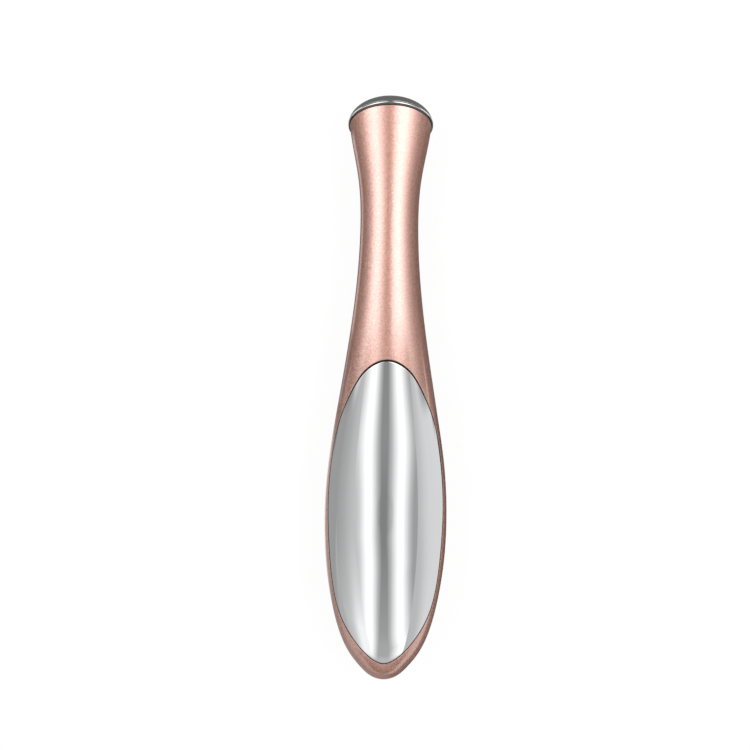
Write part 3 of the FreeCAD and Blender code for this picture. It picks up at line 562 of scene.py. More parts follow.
# %% Edges and grids of the handle
def neck_end(s):
    """1 at the seam's neck end and 0 beyond the reach of a fingernail from it."""
    y = seam(s)[0][..., 1]
    return np.clip(1 - (PLATE_STATIONS[0, 0] - y) / NAIL_REACH, 0, None)


def housing_edge(s):
    """How far outside the seam the handle's edge lies.

    To the even gap come the nail gap, times neck_end to the power of 1.5, and the flank gap, times the cube
    of the sideways part of the skin's normal.
    """
    sideways = np.abs(seam(s)[2][..., 0])
    return SEAM_HALF_GAP + NAIL_GAP * neck_end(s) ** 1.5 + FLANK_GAP * sideways**3


def lip_radius(s):
    """Rounding of the handle's edge: softer at the neck end."""
    return LIP_ROUND + LIP_ROUND_MORE * neck_end(s)


outer, span = half_skin(lambda s: housing_edge(s) + lip_radius(s), 0)
inner, inner_span = half_skin(lambda s: INNER_EDGE, WALL)
s = np.linspace(0, HALF_LOOP, span[1] - span[0])
edge, below_lip, ledge_foot = housing_edge(s), lip_radius(s) + LIP_LAND, LEDGE_DEPTH + LEDGE_THICKNESS
profile = [(edge, depth) for depth in (below_lip, *SEAM_WALL_ROWS, LEDGE_DEPTH)]
profile += [(-LEDGE_REACH, LEDGE_DEPTH), (-LEDGE_REACH, ledge_foot)]
profile += [(INNER_EDGE - INNER_BEVEL, ledge_foot), (INNER_EDGE, WALL)]
lip = seam_strip(s, rounding(edge, lip_radius(s), sign=1) + [(edge, below_lip)])
ledge = seam_strip(s, profile)
for part in (lip, ledge):
    part[:, [0, -1], 0] = 0
lip[0], ledge[-1] = outer[span[0] : span[1], 0], inner[inner_span[0] : inner_span[1], 0]
rim = np.stack([outer[0], inner[0]])
halves = [outer, lip, inner[::-1], ledge, rim[::-1]]
# The inner wall, the seam's wall and ledge and the rim at the head are unpainted moulding. Their dark brown is
# also painted shade, so that the gap along the seam reads dark.
PAINTED, BARE_AND_SEAM_SHADE = 0, 1
coats = [PAINTED, PAINTED, BARE_AND_SEAM_SHADE, BARE_AND_SEAM_SHADE, BARE_AND_SEAM_SHADE]
housing = mesh_from_grids("handle", halves + [mirrored(g) for g in halves], finishes=coats + coats)

# %% [markdown]
# The bore for the power button is cut through the wall with a Boolean, the usual way to make a clean round
# hole in a curved skin. The chrome ring covers its edge.

# %% Bore for the button
BUTTON_PLACE, BUTTON_RADIUS, BORE_RADIUS, RING_RADIUS = 11.0, 2.9, 3.0, 3.9
CUT_RADIUS, CUT_FROM, CUT_TO = BORE_RADIUS + 0.3, -2, 6


def lathe(profile, segments, centre=(0, 0, 0), axis=(0, 0, 1), side=(1, 0, 0)):
    """Grid of (radius, height) pairs turned about an axis: radius times a wheel, plus height times the axis."""
    axis, side = np.asarray(axis, float), np.asarray(side, float)
    turn = np.linspace(0, 2 * math.pi, segments + 1)
    r, h = np.asarray(profile, float).T
    wheel = np.cos(turn)[:, None] * side + np.sin(turn)[:, None] * np.cross(axis, side)
    grid = wheel[None] * r[:, None, None] + (h[:, None] * axis)[:, None]
    grid[:, -1] = grid[:, 0]
    return grid + np.asarray(centre)


cutter_profile = [(0, CUT_FROM), (CUT_RADIUS, CUT_FROM), (CUT_RADIUS, CUT_TO), (0, CUT_TO)]
cutter = mesh_from_grids("bore cutter", [lathe(cutter_profile, segments=96, centre=(0, BUTTON_PLACE, 0))])
cut = housing.modifiers.new("bore", "BOOLEAN")
cut.operation, cut.object, cut.solver = "DIFFERENCE", cutter, "EXACT"
result = bpy.data.meshes.new_from_object(housing.evaluated_get(bpy.context.evaluated_depsgraph_get()))
housing.modifiers.clear()
housing.data = result
result.set_sharp_from_angle(angle=math.radians(SHARP_ANGLE))
bpy.data.objects.remove(cutter)
# Painted shade: the unpainted moulding is given a dark brown so that the gap along the seam looks shaded.
bare_and_seam_shade = finish("unpainted moulding and painted seam shade", (0.035, 0.022, 0.018), 0, (0.4, 0.55), 7000, bump=0.12)
finish_piece(housing, (paint, bare_and_seam_shade), "handle", "rose_gold_paint", "housing")
print("handle after the bore:", len(housing.data.polygons), "faces")

# %% [markdown]
# ## The grip plate
# The plate is pressed metal with a mirror finish. A grid of spokes and rings round its middle suits it better
# than rows, because its only pole then lies on the flattest part, where nothing shows.

# %% Plate
PLATE_THICKNESS, PLATE_ROUND = 1.2, 0.13
PLATE_RINGS, UNDER_RINGS, SPOKES_PER_STATION = 70, 24, 18
# (how far inside the edge, depth) of the plate's wall below its rounding
PLATE_WALL = [(0.0, 0.5), (0.0, 0.8), (0.0, 1.05), (0.05, 1.15), (0.15, PLATE_THICKNESS)]


def plate_face(s, out, depth, rings):
    """Rings that shrink the outline towards the plate's middle, laid on the skin at a depth."""
    x, y = seam_place(s, out)
    share = np.sqrt(np.linspace(1, 0, rings))[:, None]
    x, y = x * share, PLATE_MIDDLE + (y - PLATE_MIDDLE) * share
    return skin(along(y), angle_at(x, y), depth)[0]


s = np.linspace(0, 2 * HALF_LOOP, 2 * HALF_LOOP * SPOKES_PER_STATION + 1)
profile = rounding(-SEAM_HALF_GAP, PLATE_ROUND, sign=-1, steps=8)
profile += [(-SEAM_HALF_GAP - inside, depth) for inside, depth in PLATE_WALL]
wall = seam_strip(s, profile)
top = plate_face(s, profile[0][0], 0, PLATE_RINGS)
under = plate_face(s, profile[-1][0], PLATE_THICKNESS, UNDER_RINGS)
wall[0], wall[-1] = top[0], under[0]
grids = [top[::-1], wall, under]
for g in grids:
    g[:, -1] = g[:, 0]
plate = mesh_from_grids("chrome_grip_plate", grids, sharp=50)
finish_piece(plate, chrome, "cover", "chrome_plate", "grip_plate")

# %% [markdown]
# ## The massage cap
# The cap is turned metal: a short straight skirt, a fine crease, then a shallow dome. Turning a profile is
# exactly how it would be made, so it is a lathe grid about the head's tilted axis. The profile starts in the
# hollow, goes down to the seat on the collar, round the foot and up the skirt, and ends on top of the dome.

# %% Cap
CAP_RADIUS, CAP_FOOT, CAP_RIM, CAP_DOME = 9.8, 0.10, 0.66, 4.575
CEILING_RADIUS, CEILING, HOLLOW_RADIUS, SHOULDER_RISE = 6.6, 3.4, 8.6, 0.4
SEAT_RADIUS, SEAT, FOOT_ROUND, FOOT_CHAMFER = 9.34, 0.4, 0.12, 0.02
# (how far inside the skirt, height above the rim) of the crease
CREASE = [(0, -0.15), (0.03, -0.06), (0.13, -0.02), (0.13, 0.01)]
# The dome is the upper part of a quarter ellipse, and its rows crowd towards the rim.
DOME_INSET, DOME_STEP, DOME_START, DOME_ROWS, DOME_CROWDING = 0.1, 0.04, math.radians(3.5), 90, 1.5


def arc(radius, height, size, start, end, steps=6):
    """(radius, height) pairs of a small rounding about a centre."""
    turns = np.radians(np.linspace(start, end, steps))
    return [(radius + size * math.cos(a), height + size * math.sin(a)) for a in turns]


cap_profile = [(0, CEILING), (CEILING_RADIUS, CEILING), (HOLLOW_RADIUS, CAP_RIM + SHOULDER_RISE)]
cap_profile += [(HOLLOW_RADIUS, SEAT), (SEAT_RADIUS, SEAT), (SEAT_RADIUS, CAP_FOOT + FOOT_CHAMFER)]
cap_profile += arc(CAP_RADIUS - FOOT_ROUND, CAP_FOOT + FOOT_ROUND, FOOT_ROUND, -90, 0, steps=7)
cap_profile += [(CAP_RADIUS - inside, CAP_RIM + height) for inside, height in CREASE]
quarter = DOME_START + (math.pi / 2 - DOME_START) * np.linspace(0, 1, DOME_ROWS) ** DOME_CROWDING
dome_radius = (CAP_RADIUS - DOME_INSET) * np.cos(quarter) / math.cos(DOME_START)
dome_rise = (np.sin(quarter) - math.sin(DOME_START)) / (1 - math.sin(DOME_START))
cap_profile += list(zip(dome_radius, CAP_RIM + DOME_STEP + (CAP_DOME - DOME_STEP) * dome_rise))
cap_profile[-1] = (0, cap_profile[-1][1])
cap_grid = lathe(cap_profile, segments=256, centre=HEAD_CENTRE, axis=HEAD_AXIS)
cap = mesh_from_grids("chrome_massage_cap", [cap_grid], sharp=28)
finish_piece(cap, cap_chrome, "handle", "chrome_cap", "head_cap")

# %% [markdown]
# ## Button, ring and lamp on the back
# These three follow the handle's curve. Each is a small wheel of points in plan that is laid on the skin with
# a height of its own above it, so their edges stay the same height all round.

# %% Pieces laid on the underside
BUTTON_FOOT, BUTTON_LEDGE, BUTTON_ROUND, BUTTON_CENTRE = -3.0, -1.0, 0.3, 0.2
# (radius, height) of the dish for the fingertip
BUTTON_DISH = [(2.2, 0.49), (1.6, 0.42), (0.9, 0.38), (0.4, 0.37), (0, 0.37)]
RING_FOOT, RING_ROUND, RING_CENTRE = -0.75, 0.18, 0.07
LIGHT_PLACE, LIGHT_RADIUS, LIGHT_FOOT, LIGHT_DOME, LIGHT_DOME_START = 19.0, 1.0, -2.0, 0.1, 0.2


def laid_on_back(place, profile, segments=96):
    """Grid of (radius, height above the skin) pairs round a place on the wand's underside."""
    turn = np.linspace(0, 2 * math.pi, segments + 1)
    r, h = np.asarray(profile, float).T
    x = r[:, None] * np.cos(turn)
    y = place + r[:, None] * np.sin(turn)
    points = skin(along(y), -angle_at(x, y))[0]
    points[..., 2] -= h[:, None]
    points[:, -1] = points[:, 0]
    return points


profile = [(0, BUTTON_FOOT), (BUTTON_RADIUS, BUTTON_FOOT), (BUTTON_RADIUS, BUTTON_LEDGE)]
profile += arc(BUTTON_RADIUS - BUTTON_ROUND, BUTTON_CENTRE, BUTTON_ROUND, 0, 90) + BUTTON_DISH
button = mesh_from_grids("power_button_cap", [laid_on_back(BUTTON_PLACE, profile)], sharp=40)
profile = [(BORE_RADIUS, RING_FOOT)] + arc(BORE_RADIUS + RING_ROUND, RING_CENTRE, RING_ROUND, 180, 90)
profile += arc(RING_RADIUS - RING_ROUND, RING_CENTRE, RING_ROUND, 90, 0)
profile += [(RING_RADIUS, RING_FOOT), (BORE_RADIUS, RING_FOOT)]
ring = mesh_from_grids("power_button_ring", [laid_on_back(BUTTON_PLACE, profile)], sharp=40)
profile = [(0, LIGHT_FOOT), (LIGHT_RADIUS, LIGHT_FOOT), (LIGHT_RADIUS, 0.0)]
dome_turn = np.linspace(LIGHT_DOME_START, math.pi / 2, 8)
profile += [(LIGHT_RADIUS * math.cos(a), LIGHT_DOME * math.sin(a)) for a in dome_turn]
profile[-1] = (0, LIGHT_DOME)
lens = mesh_from_grids("lamp_lens", [laid_on_back(LIGHT_PLACE, profile, segments=48)], sharp=40)

# %% Their finishes
ring_chrome = finish("ring chrome", (0.66, 0.66, 0.67), 1.0, (0.05, 0.1), 900.0, bump=0.01, shade=0.01)
milky = finish("milky lens", (0.86, 0.88, 0.90), 0.0, (0.16, 0.22), 1500.0, bump=0.02, shade=0.03,
               Subsurface_Weight=0.4, Subsurface_Radius=(0.001, 0.001, 0.001))
finish_piece(button, paint, "button", "rose_gold_paint", "power_button")
finish_piece(ring, ring_chrome, "handle", "chrome_trim", "button_ring")
finish_piece(lens, milky, "handle", "clear_acrylic", "light_pipe")
print("button", 2 * BUTTON_RADIUS, "mm across, lamp", 2 * LIGHT_RADIUS, "mm across")

# %% [markdown]
# ## Everything inside
# With the plate lifted off, the battery, its tray and springs, the board and its parts come into view.
# They keep their solids. Each gets the finish of its real material, from one table.

# %% Finishes for the parts inside
INSIDE = {
    "black_plastic": finish("black satin plastic", (0.022, 0.022, 0.024), 0, (0.38, 0.5), 9000, bump=0.12),
    "grey_plastic": finish("grey moulded plastic", (0.13, 0.135, 0.145), 0, (0.42, 0.55), 7000, bump=0.15),
    "white_plastic": finish("white moulded plastic", (0.72, 0.72, 0.70), 0, (0.4, 0.5), 7000, bump=0.12),
    "zinc_steel": finish("zinc plated steel", (0.50, 0.51, 0.54), 1, (0.25, 0.4), 6000, bump=0.1),
    "nickel_steel": finish("nickel plated steel", (0.60, 0.57, 0.52), 1, (0.16, 0.28), 3000, (1, 8, 1), bump=0.08),
    "bright_steel": finish("ground steel", (0.56, 0.56, 0.57), 1, (0.12, 0.2), 2500, (8, 1, 8), bump=0.08),
    "tungsten": finish("sintered tungsten", (0.20, 0.20, 0.21), 1, (0.4, 0.55), 9000, bump=0.3),
    "grey_silicone": finish("grey silicone", (0.24, 0.27, 0.31), 0, (0.55, 0.7), 5000, bump=0.15),
    "black_rubber": finish("black rubber", (0.02, 0.02, 0.02), 0, (0.6, 0.75), 7000, bump=0.2),
    "foam": finish("open foam", (0.045, 0.045, 0.05), 0, (0.85, 0.95), 3500, bump=0.9, bump_reach=0.0002),
    "amber_film": finish("amber film", (0.50, 0.19, 0.02), 0, (0.12, 0.2), 900, bump=0.05),
    "black_epoxy": finish("black epoxy", (0.03, 0.03, 0.035), 0, (0.15, 0.25), 2500, bump=0.1),
    "cell_core": finish("cell can steel", (0.58, 0.57, 0.55), 1, (0.14, 0.24), 2500, (8, 1, 8), bump=0.05),
    "board_green": finish("board solder mask", (0.012, 0.12, 0.05), 0, (0.22, 0.34), 5000, bump=0.1, shade=0.3),
    "ferrite": finish("lacquered ferrite", (0.04, 0.032, 0.03), 0, (0.35, 0.5), 5000, bump=0.3),
    "drum_cans": finish("drawn aluminium", (0.62, 0.63, 0.65), 1, (0.2, 0.32), 2500, (8, 8, 1), bump=0.06),
    "ceramic_black": finish("fired ceramic", (0.03, 0.03, 0.035), 0, (0.3, 0.45), 7000, bump=0.2),
    "lamp_white": finish("lamp resin", (0.85, 0.80, 0.55), 0, (0.15, 0.2), 4000, bump=0.05),
    "cell_film": finish("printed battery film", (0.02, 0.11, 0.13), 0, (0.18, 0.26), 1500, bump=0.03, shade=0.05),
}
WIRES = {
    "red": (0.40, 0.015, 0.012),
    "black": (0.02, 0.02, 0.02),
    "white": (0.68, 0.68, 0.66),
    "blue": (0.02, 0.06, 0.30),
}
for hue, colour in WIRES.items():
    INSIDE[f"{hue}_wire"] = finish(f"{hue} insulation", colour, 0, (0.35, 0.5), 5000, bump=0.1)
slots = {part["node"]: part["material_slot"] for part in frame["record"]["subparts"]}
collar_grey = finish("grey collar", (0.10, 0.095, 0.098), 0, (0.35, 0.5), 9000, bump=0.1)
for name, part in nodes.items():
    if not part.hide_render and slots[name] in INSIDE:
        part.data.materials.clear()
        part.data.materials.append(collar_grey if name == "head_collar" else INSIDE[slots[name]])
print("finishes inside:", len(INSIDE))

# %% [markdown]
# ## The studio
# Chrome has no look of its own: it shows the room. The room here is a world that only reflections see. Two
# soft boxes hang on either side of a dark middle, a grey wall stands on the left and a light one on the
# right. Everything else is lit by an even world and two area lamps, and the camera sees plain white.
#
# The wand is long and its reflections are bands along it, so the room is written as brightness against the
# sideways angle from overhead. Seen from above, a surface tipped by some slope shows the direction
# (X, Y, Z) for which X / (1 + Z) and Y / (1 + Z) are that slope sideways and lengthwise. Working in those
# two numbers keeps each band where it belongs on the metal, whatever the metal does in the other direction.

# %% Helpers for brightness against angle
BRIGHTEST = 3.4


def graded(angle, stops):
    """Brightness that follows (degrees from overhead towards the right, level) stops."""
    ramp = add(angle.tree, "ShaderNodeValToRGB", maths("MULTIPLY_ADD", angle, 1 / (2 * math.pi), 0.5))
    ramp.color_ramp.interpolation = "CARDINAL"
    elements = ramp.color_ramp.elements
    while len(elements) < len(stops):
        elements.new(0.5)
    # All places come before the first shade, because a stop that moves may change the order.
    for element, (degrees, _) in zip(elements, stops):
        element.position = (degrees + 180) / 360
    for element, (_, level) in zip(elements, stops):
        element.color = (*[level / BRIGHTEST] * 3, 1)
    return Number(ramp.outputs[0]) * BRIGHTEST


def between(value, low, high):
    """0 below low, 1 above high, smooth in between."""
    step = add(value.tree, "ShaderNodeMapRange", value, low, high, interpolation_type="SMOOTHSTEP")
    return Number(step.outputs[0])


def blended(factor, first, second):
    """first where factor is 0 and second where it is 1."""
    return (1.0 - factor) * first + factor * second


def coordinates(tree, kind="Object"):
    """X, Y and Z of the texture coordinate of one kind."""
    split = add(tree, "ShaderNodeSeparateXYZ", add(tree, "ShaderNodeTexCoord").outputs[kind])
    return [Number(socket) for socket in split.outputs]


def who_looks(tree):
    """1 for a reflection, and 1 for the camera or what is seen through glass."""
    rays = add(tree, "ShaderNodeLightPath").outputs
    glossy, camera, through = (Number(rays[f"Is {kind} Ray"]) for kind in ("Glossy", "Camera", "Transmission"))
    return glossy, maths("MAXIMUM", camera, through)


def mixed(tree, factor, first, second):
    """The first shader where factor is 0 and the second where it is 1."""
    return add(tree, "ShaderNodeMixShader", factor, first, second).outputs[0]


# %% World
world = bpy.data.worlds.new("studio")
bpy.context.scene.world = world
world.use_nodes = True
tree = world.node_tree
tree.nodes.clear()
right, ahead, up = coordinates(tree, "Generated")
sideways = maths("ARCTAN2", right, up + 1.0) * 2.0
lengthwise = ahead / (up + 1.0)
to_head, to_tail = maths("MAXIMUM", lengthwise, 0.0), maths("MAXIMUM", lengthwise * -1.0, 0.0)
# The walls and the lift between the boxes stop changing at this slope towards the tail.
TAIL_LIMIT = 0.4
tail_limited = maths("MINIMUM", to_tail, TAIL_LIMIT)

# %% [markdown]
# ### The soft boxes overhead
# The plate narrows towards both ends, and its skin slopes down there. Boxes with parallel sides would show
# as bands that crowd together, so both boxes splay towards their ends: the share by which their angles
# shrink grows with the slope. Near the tail each box has its own splay and both lean a little to the
# right. Light that strays between the boxes lifts the dark middle towards both ends.

# %% The soft boxes overhead
OVERHEAD = [
    (-90, 0.74), (-52, 0.78), (-44, 0.82), (-37, 1.08), (-24, 1.65), (-14, 0.97), (-7, 0.43), (-1, 0.31),
    (4, 0.52), (10, 0.95), (21, 1.65), (28, 1.35), (34, 0.92), (41, 0.57), (47, 0.50), (90, 0.50),
]
HEAD_SPLAY, MOST_SPLAY = 10.0, 0.5
# (growth with the slope, start) of the boxes' splay towards the tail and of the lift at both ends
LEFT_SPLAY, RIGHT_SPLAY = (0.9, -0.10), (1.75, -0.26)
HEAD_LIFT, TAIL_LIFT = (0.42, 0.33), (0.75, 0.27)
SPLAY_CHANGE, LEAN, LEAN_FROM, LEAN_TO = math.radians(3), math.radians(1.8), 0.05, 0.15

head_splay = maths("MINIMUM", to_head * to_head * HEAD_SPLAY, MOST_SPLAY)
left_splay, right_splay = (maths("MULTIPLY_ADD", to_tail, *splay) for splay in (LEFT_SPLAY, RIGHT_SPLAY))
tail_splay = blended(between(sideways, -SPLAY_CHANGE, SPLAY_CHANGE), left_splay, right_splay)
tail_splay = maths("MINIMUM", maths("MAXIMUM", tail_splay, 0.0), MOST_SPLAY)
lean = between(to_tail, LEAN_FROM, LEAN_TO) * LEAN
boxes = graded((sideways - lean) * (1.0 - maths("MAXIMUM", head_splay, tail_splay)), OVERHEAD)
for end, lift in ((head_splay, HEAD_LIFT), (tail_limited, TAIL_LIFT)):
    boxes = maths("MAXIMUM", boxes, maths("MULTIPLY_ADD", end, *lift))
print("boxes:", len(OVERHEAD), "stops from side to side")

# %% [markdown]
# ### The walls beside them
# The left wall is grey and brightens towards the tail. Where it meets the boxes its edge moves inwards
# towards the tail, and the right wall's shading moves outwards. Beyond the tail stands one more wall, pale
# overhead and dark at its foot.

# %% The walls
LEFT_WALL = [(-180, 0.48), (-100, 0.48), (-85, 0.52), (-66, 0.63), (-50, 0.76), (180, 0.76)]
RIGHT_WALL = [(-180, 0.72), (50, 0.72), (62, 0.86), (76, 0.97), (180, 0.97)]
EDGE, EDGE_SOFTNESS = math.radians(50), math.radians(0.8)
LEFT_EDGE_LEAN, RIGHT_WALL_LEAN = math.radians(45), math.radians(40)
# The left wall's gain is 1 + slope squared times a factor, which goes from far out to near the boxes.
GAIN_LIMIT, GAIN_OUTSIDE, GAIN_MORE_INSIDE = 0.32, 3.4, 4.3
INSIDE_FROM, INSIDE_TO = math.radians(-66), math.radians(-45)
# The tail's wall is this many times Z plus a start, never darker than its foot.
TAIL_WALL, TAIL_WALL_FOOT, TAIL_WALL_FROM, TAIL_WALL_TO = (3.0, -0.4), 0.15, 0.55, 0.72

gain_slope = maths("MINIMUM", to_tail, GAIN_LIMIT)
gain_factor = between(sideways, INSIDE_FROM, INSIDE_TO) * GAIN_MORE_INSIDE + GAIN_OUTSIDE
left_wall = graded(sideways, LEFT_WALL) * (gain_slope * gain_slope * gain_factor + 1.0)
right_wall = graded(sideways - tail_limited * RIGHT_WALL_LEAN, RIGHT_WALL)
tail_wall = maths("MAXIMUM", maths("MULTIPLY_ADD", up, *TAIL_WALL), TAIL_WALL_FOOT)
left_edge = tail_limited * LEFT_EDGE_LEAN - EDGE
room = blended(between(sideways, left_edge, left_edge + EDGE_SOFTNESS), left_wall, boxes)
room = blended(between(sideways, EDGE, EDGE + EDGE_SOFTNESS), room, right_wall)
room = blended(between(to_tail, TAIL_WALL_FROM, TAIL_WALL_TO), room, tail_wall)
print("walls:", len(LEFT_WALL), "and", len(RIGHT_WALL), "stops")

# %% Who sees what
EVEN_LEVEL = 0.8
glossy, direct = who_looks(tree)
level = blended(direct, blended(glossy, EVEN_LEVEL, room), 1.0)
background = add(tree, "ShaderNodeBackground", (1, 1, 1, 1), level)
add(tree, "ShaderNodeOutputWorld", background.outputs[0])
print("world:", len(tree.nodes), "nodes")

# %% [markdown]
# ### The floor
# To the camera the floor is white paper. Metal would show that paper all along its lower flanks, so grey
# and dark cloths and a few light strips lie on it, and only reflections see them. Their soft edges keep
# hard lines out of the paint. The paper has one side, so that the wand can also be looked at from below.

# %% Cloths on the floor
# (name, x from, x to, y from, y to, softness of the edges, brightness), in millimetres
FAR = 9000
PAPER, PAPER_GLOW = 0.99, 0.92
CLOTHS = [
    ("left flank", -FAR, -20, -FAR, FAR, 4, 0.48),
    ("left flank of the tail", -FAR, -20, -FAR, -62, 8, 0.62),
    ("light line beside the body", -19, -9, -50, -6, 5, 1.1),
    ("right edge of the body", 13, 30, -68, 6, 3, 0.05),
    ("left of the tail", -30, -8, -75, -44, 8, 0.35),
    ("behind the tail", -30, 30, -FAR, -66, 8, 0.35),
    ("right of the tail", 6, 32, -110, -50, 6, 0.12),
    ("left of the plate's tip", -34, -8, -10, 10, 5, 0.2),
    ("right of the plate's tip", 10, 44, -3, 12, 4, 0.12),
]
CLOTH_ENDS = 2.5
# The cloths beside the neck start on a slant, so the plate's tip looks past them.
NECK_CLOTHS = [
    ("left of the neck", -60, 0, -50, 63, 8, 0.12),
    ("right of the neck", 0, 60, -50, 63, 8, 0.12),
    ("light line beside the neck", -24, -15, 14, 57, 2, 0.80),
    ("light line beside the waist", -22, -15, -50, 14, 2, 0.45),
    ("dark line beside the neck", -15, 0, -50, 63, 2, 0.08),
]
UNDER_CLOTHS = [
    ("under the body", -8, 8, -62, 2, 9, 0.65),
    ("under the neck", -5, 5, -4, 58, 7, 0.65),
    ("under the head", -9, 9, 50, 67, 4, 0.75),
]
NECK_SLANT, NECK_START, SLANT_SOFTNESS = 0.5, -12.0, 1.5
# Past the head a dark cloth fans out, with a light strip far inside it.
HEAD_SPREAD, HEAD_START, HEAD_HALF_WIDTH = 1.05, 63, 17
HEAD_SOFTNESS, FAN_SOFTNESS, STRIP_FROM, STRIP_TO = 1.5, 1.5, -24, -20
HEAD_CLOTH, HEAD_STRIP = 0.2, 1.8
print("cloths:", len(CLOTHS + NECK_CLOTHS + UNDER_CLOTHS))

# %% Floor
# The paper reaches this far each way and lies this deep, in metres, a hair below the wand's resting flat.
PAPER_REACH, PAPER_DEPTH = 4, 2e-5
corners = [(-1, -1), (1, -1), (1, 1), (-1, 1)]
floor_points = [(PAPER_REACH * x, PAPER_REACH * y, -PAPER_DEPTH) for x, y in corners]
floor_mesh = bpy.data.meshes.new("floor")
floor_mesh.from_pydata(floor_points, [], [(0, 1, 2, 3)])
floor = new_object("floor", floor_mesh)
paper, tree, shader = new_material("floor paper")
feed(tree, shader, Base_Color=(0.9, 0.9, 0.9, 1), Roughness=1.0, Specular_IOR_Level=0.0)
across, along_it, _ = (metres * (1 / MM) for metres in coordinates(tree))
aside = maths("ABSOLUTE", across)


def cloth_mask(x0, x1, y0, y1, soft, ends=1.0):
    """1 on a soft-edged rectangle of the floor, as the product of four steps; ends makes its ends softer."""
    side, end = soft / 2, soft / 2 * ends
    starts = between(across, x0 - side, x0 + side) * between(along_it, y0 - end, y0 + end)
    return starts * (between(across, x1 + side, x1 - side) * between(along_it, y1 + end, y1 - end))


shown = PAPER
for _, x0, x1, y0, y1, soft, level in CLOTHS:
    shown = blended(cloth_mask(x0, x1, y0, y1, soft, CLOTH_ENDS), shown, level)
past_slant = between(along_it - aside * NECK_SLANT, NECK_START - SLANT_SOFTNESS, NECK_START + SLANT_SOFTNESS)
for _, x0, x1, y0, y1, soft, level in NECK_CLOTHS:
    shown = blended(cloth_mask(x0, x1, y0, y1, soft) * past_slant, shown, level)
inside_fan = (along_it - HEAD_START) * HEAD_SPREAD + HEAD_HALF_WIDTH - aside
past_head = between(along_it, HEAD_START - HEAD_SOFTNESS, HEAD_START + HEAD_SOFTNESS)
for start, end, level in ((STRIP_FROM, STRIP_TO, HEAD_STRIP), (-FAN_SOFTNESS, FAN_SOFTNESS, HEAD_CLOTH)):
    shown = blended(between(inside_fan, start, end) * past_head, shown, level)
for _, x0, x1, y0, y1, soft, level in UNDER_CLOTHS:
    shown = blended(cloth_mask(x0, x1, y0, y1, soft), shown, level)

# %% Who sees the floor's paper
glossy, direct = who_looks(tree)
glow = add(tree, "ShaderNodeEmission", Strength=blended(glossy, 1.0, shown)).outputs[0]
front = mixed(tree, maths("MAXIMUM", direct * PAPER_GLOW, glossy), shader.outputs[0], glow)
back = add(tree, "ShaderNodeNewGeometry").outputs["Backfacing"]
clear = add(tree, "ShaderNodeBsdfTransparent").outputs[0]
feed(tree, tree.nodes["Material Output"], mixed(tree, back, front, clear))
floor_mesh.materials.append(paper)
print("floor paper:", len(tree.nodes), "nodes")

# %% [markdown]
# ### A card past the head
# The cap leans away and looks over the table's far end. A dark card stands there with a white arch on it,
# broken in the middle, which draws the bright line along the cap's rim.


# %% Cards that only reflections see
def fading_cloth(name, points, quads, brightness, opacity):
    """A card for reflections alone, whose brightness and opacity are two functions of X, Y and Z."""
    mesh = bpy.data.meshes.new(name)
    mesh.from_pydata(points, [], quads)
    material, tree, _ = new_material(name)
    place = coordinates(tree)
    light = add(tree, "ShaderNodeEmission", Strength=brightness(*place)).outputs[0]
    clear = add(tree, "ShaderNodeBsdfTransparent").outputs[0]
    feed(tree, tree.nodes["Material Output"], mixed(tree, opacity(*place), clear, light))
    mesh.materials.append(material)
    card = new_object(name, mesh)
    card.visible_camera = card.visible_diffuse = card.visible_shadow = card.visible_transmission = False
    print(name, "with", len(tree.nodes), "nodes")


# %% Head card
CARD_PLACE, CARD_TOP, CARD_HALF_WIDTH = 200, 115, 260
CARD_TOP_FADE, CARD_SIDE_FADE = 12, 90
CARD_LEVEL, ARCH_LEVEL = 0.22, 1.9
ARCH_TOP, ARCH_DROP, ARCH_CORE, ARCH_REACH = 80, 2.1, 7, 13
BREAK_CORE, BREAK_REACH = 6, 30


def card_brightness(x, _, z):
    """Dark, with a white arch that is broken in the middle: its height drops with the square of x."""
    off_arch = maths("ABSOLUTE", z + x * x * ARCH_DROP - ARCH_TOP * MM)
    on_arch = 1.0 - between(off_arch, ARCH_CORE * MM, ARCH_REACH * MM)
    sides = between(maths("ABSOLUTE", x), BREAK_CORE * MM, BREAK_REACH * MM)
    return blended(on_arch * sides, CARD_LEVEL, ARCH_LEVEL)


def card_opacity(x, _, z):
    """Opaque, with soft edges."""
    aside = maths("ABSOLUTE", x)
    sides = between(aside, CARD_HALF_WIDTH * MM, (CARD_HALF_WIDTH - CARD_SIDE_FADE) * MM)
    return sides * between(z, CARD_TOP * MM, (CARD_TOP - CARD_TOP_FADE) * MM)


corners = [(-1, 0), (1, 0), (1, 1), (-1, 1)]
card_points = [(x * CARD_HALF_WIDTH * MM, CARD_PLACE * MM, z * CARD_TOP * MM) for x, z in corners]
fading_cloth("head card", card_points, [(0, 1, 2, 3)], card_brightness, card_opacity)

# %% [markdown]
# ### A tent over the neck
# The painted neck is rounder and duller than the plate and needs wider, brighter bands. A half tube of
# diffusion cloth hangs over it, bright on both shoulders and dark along its top.

# %% Tent
TENT_RADIUS, TENT_HALF_TURN, TENT_POINTS = 60, math.radians(98), 97
TENT_START, TENT_FADE, TENT_END, TENT_END_FADE = 16, 9, 150, 40
TENT_SLANT, SLANT_FROM, SLANT_TO = 13, math.radians(45), math.radians(75)
TENT = [
    (-180, 0.15), (-110, 0.16), (-90, 0.24), (-72, 0.68), (-60, 1.5), (-47, 2.6), (-32, 2.7), (-20, 1.5),
    (-8, 0.45), (-1, 0.35), (6, 1.0), (14, 2.4), (24, 3.1), (38, 3.0), (50, 1.9), (62, 1.0), (76, 0.45),
    (95, 0.18), (180, 0.15),
]


def tent_angle(x, z):
    """Angle from overhead, seen from the wand's axis."""
    return maths("ARCTAN2", x, z - AXIS_HEIGHT * MM)


def tent_brightness(x, _, z):
    """Bands along the tent."""
    return graded(tent_angle(x, z), TENT)


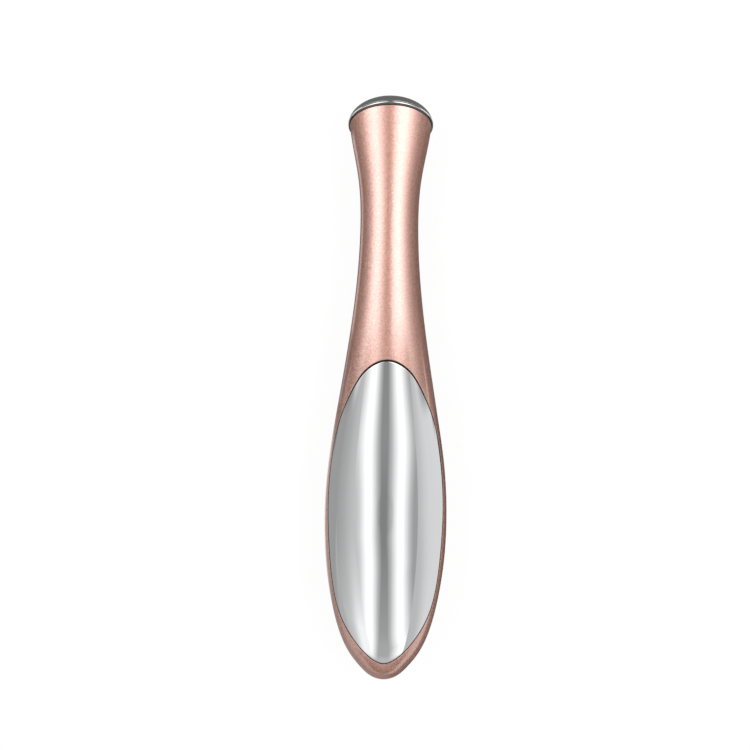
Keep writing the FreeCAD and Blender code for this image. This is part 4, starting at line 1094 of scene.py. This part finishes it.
def tent_opacity(x, y, z):
    """The cloth thins out at both ends, and starts sooner at the sides than overhead."""
    aside = between(maths("ABSOLUTE", tent_angle(x, z)), SLANT_FROM, SLANT_TO)
    hem = aside * (-TENT_SLANT * MM) + TENT_START * MM
    far = between(y, TENT_END * MM, (TENT_END - TENT_END_FADE) * MM)
    return between(y, hem, hem + TENT_FADE * MM) * far


turn = np.linspace(-TENT_HALF_TURN, TENT_HALF_TURN, TENT_POINTS)
arch = np.stack([TENT_RADIUS * np.sin(turn), 0 * turn, AXIS_HEIGHT + TENT_RADIUS * np.cos(turn)], -1)
tent_points = np.concatenate([arch, arch + [0, TENT_END, 0]]) * MM
fading_cloth("neck tent", tent_points, grid_quads(2, len(turn), 0).tolist(), tent_brightness, tent_opacity)

# %% [markdown]
# ## Lamps
# Two long area lamps light whatever is not a mirror. Reflections don't see them, because the room above
# already holds every bright shape that the metal should show.


# %% Lamps
def look_at_origin(place):
    """Angles that turn a lamp's own down direction towards the origin."""
    x, y, z = place
    return math.atan2(y, math.hypot(x, z)), math.atan2(x, z), 0


def lamp(name, place, size, power):
    """A rectangular area lamp, in metres and watts, that reflections don't see."""
    light = bpy.data.lights.new(name, "AREA")
    light.shape, light.size, light.size_y, light.energy = "RECTANGLE", size[0], size[1], power
    piece = new_object(name, light)
    piece.location, piece.rotation_euler = place, look_at_origin(place)
    piece.visible_glossy = False
    print(name, power, "W")


lamp("left soft box", (-0.35, 0.0, 0.6), (0.25, 1.0), 2.0)
lamp("right soft box", (0.35, 0.0, 0.6), (0.25, 1.0), 2.4)

# %% [markdown]
# ## Camera
# The wand is seen square on to its front, from far enough that its edges do not lean. It stands a little
# less than a degree off upright and a little right of the middle, so the camera is rolled and moved by
# that much.

# %% Camera
ROLL = math.radians(0.77)
# Width of the picture, scale, and where the wand's middle comes in it, across and down, in pixels
PICTURE, PIXELS_PER_MM = 750, 4.326
MIDDLE_ACROSS, MIDDLE_DOWN = 387.2, 387.5
DISTANCE = 2.5
view = bpy.data.cameras.new("camera")
view.sensor_width = 36.0
view.lens = view.sensor_width * DISTANCE / (PICTURE / PIXELS_PER_MM * MM)
camera = new_object("camera", view)
aim = np.array([PICTURE / 2 - MIDDLE_ACROSS, MIDDLE_DOWN - PICTURE / 2]) / PIXELS_PER_MM * MM
turn = np.array([[math.cos(ROLL), -math.sin(ROLL)], [math.sin(ROLL), math.cos(ROLL)]])
camera.location = (*(turn @ aim), AXIS_HEIGHT * MM + DISTANCE)
camera.rotation_euler = (0, 0, ROLL)
bpy.context.scene.camera = camera
bpy.context.scene.view_settings.view_transform = "Standard"
print("lens", round(view.lens, 1), "mm")
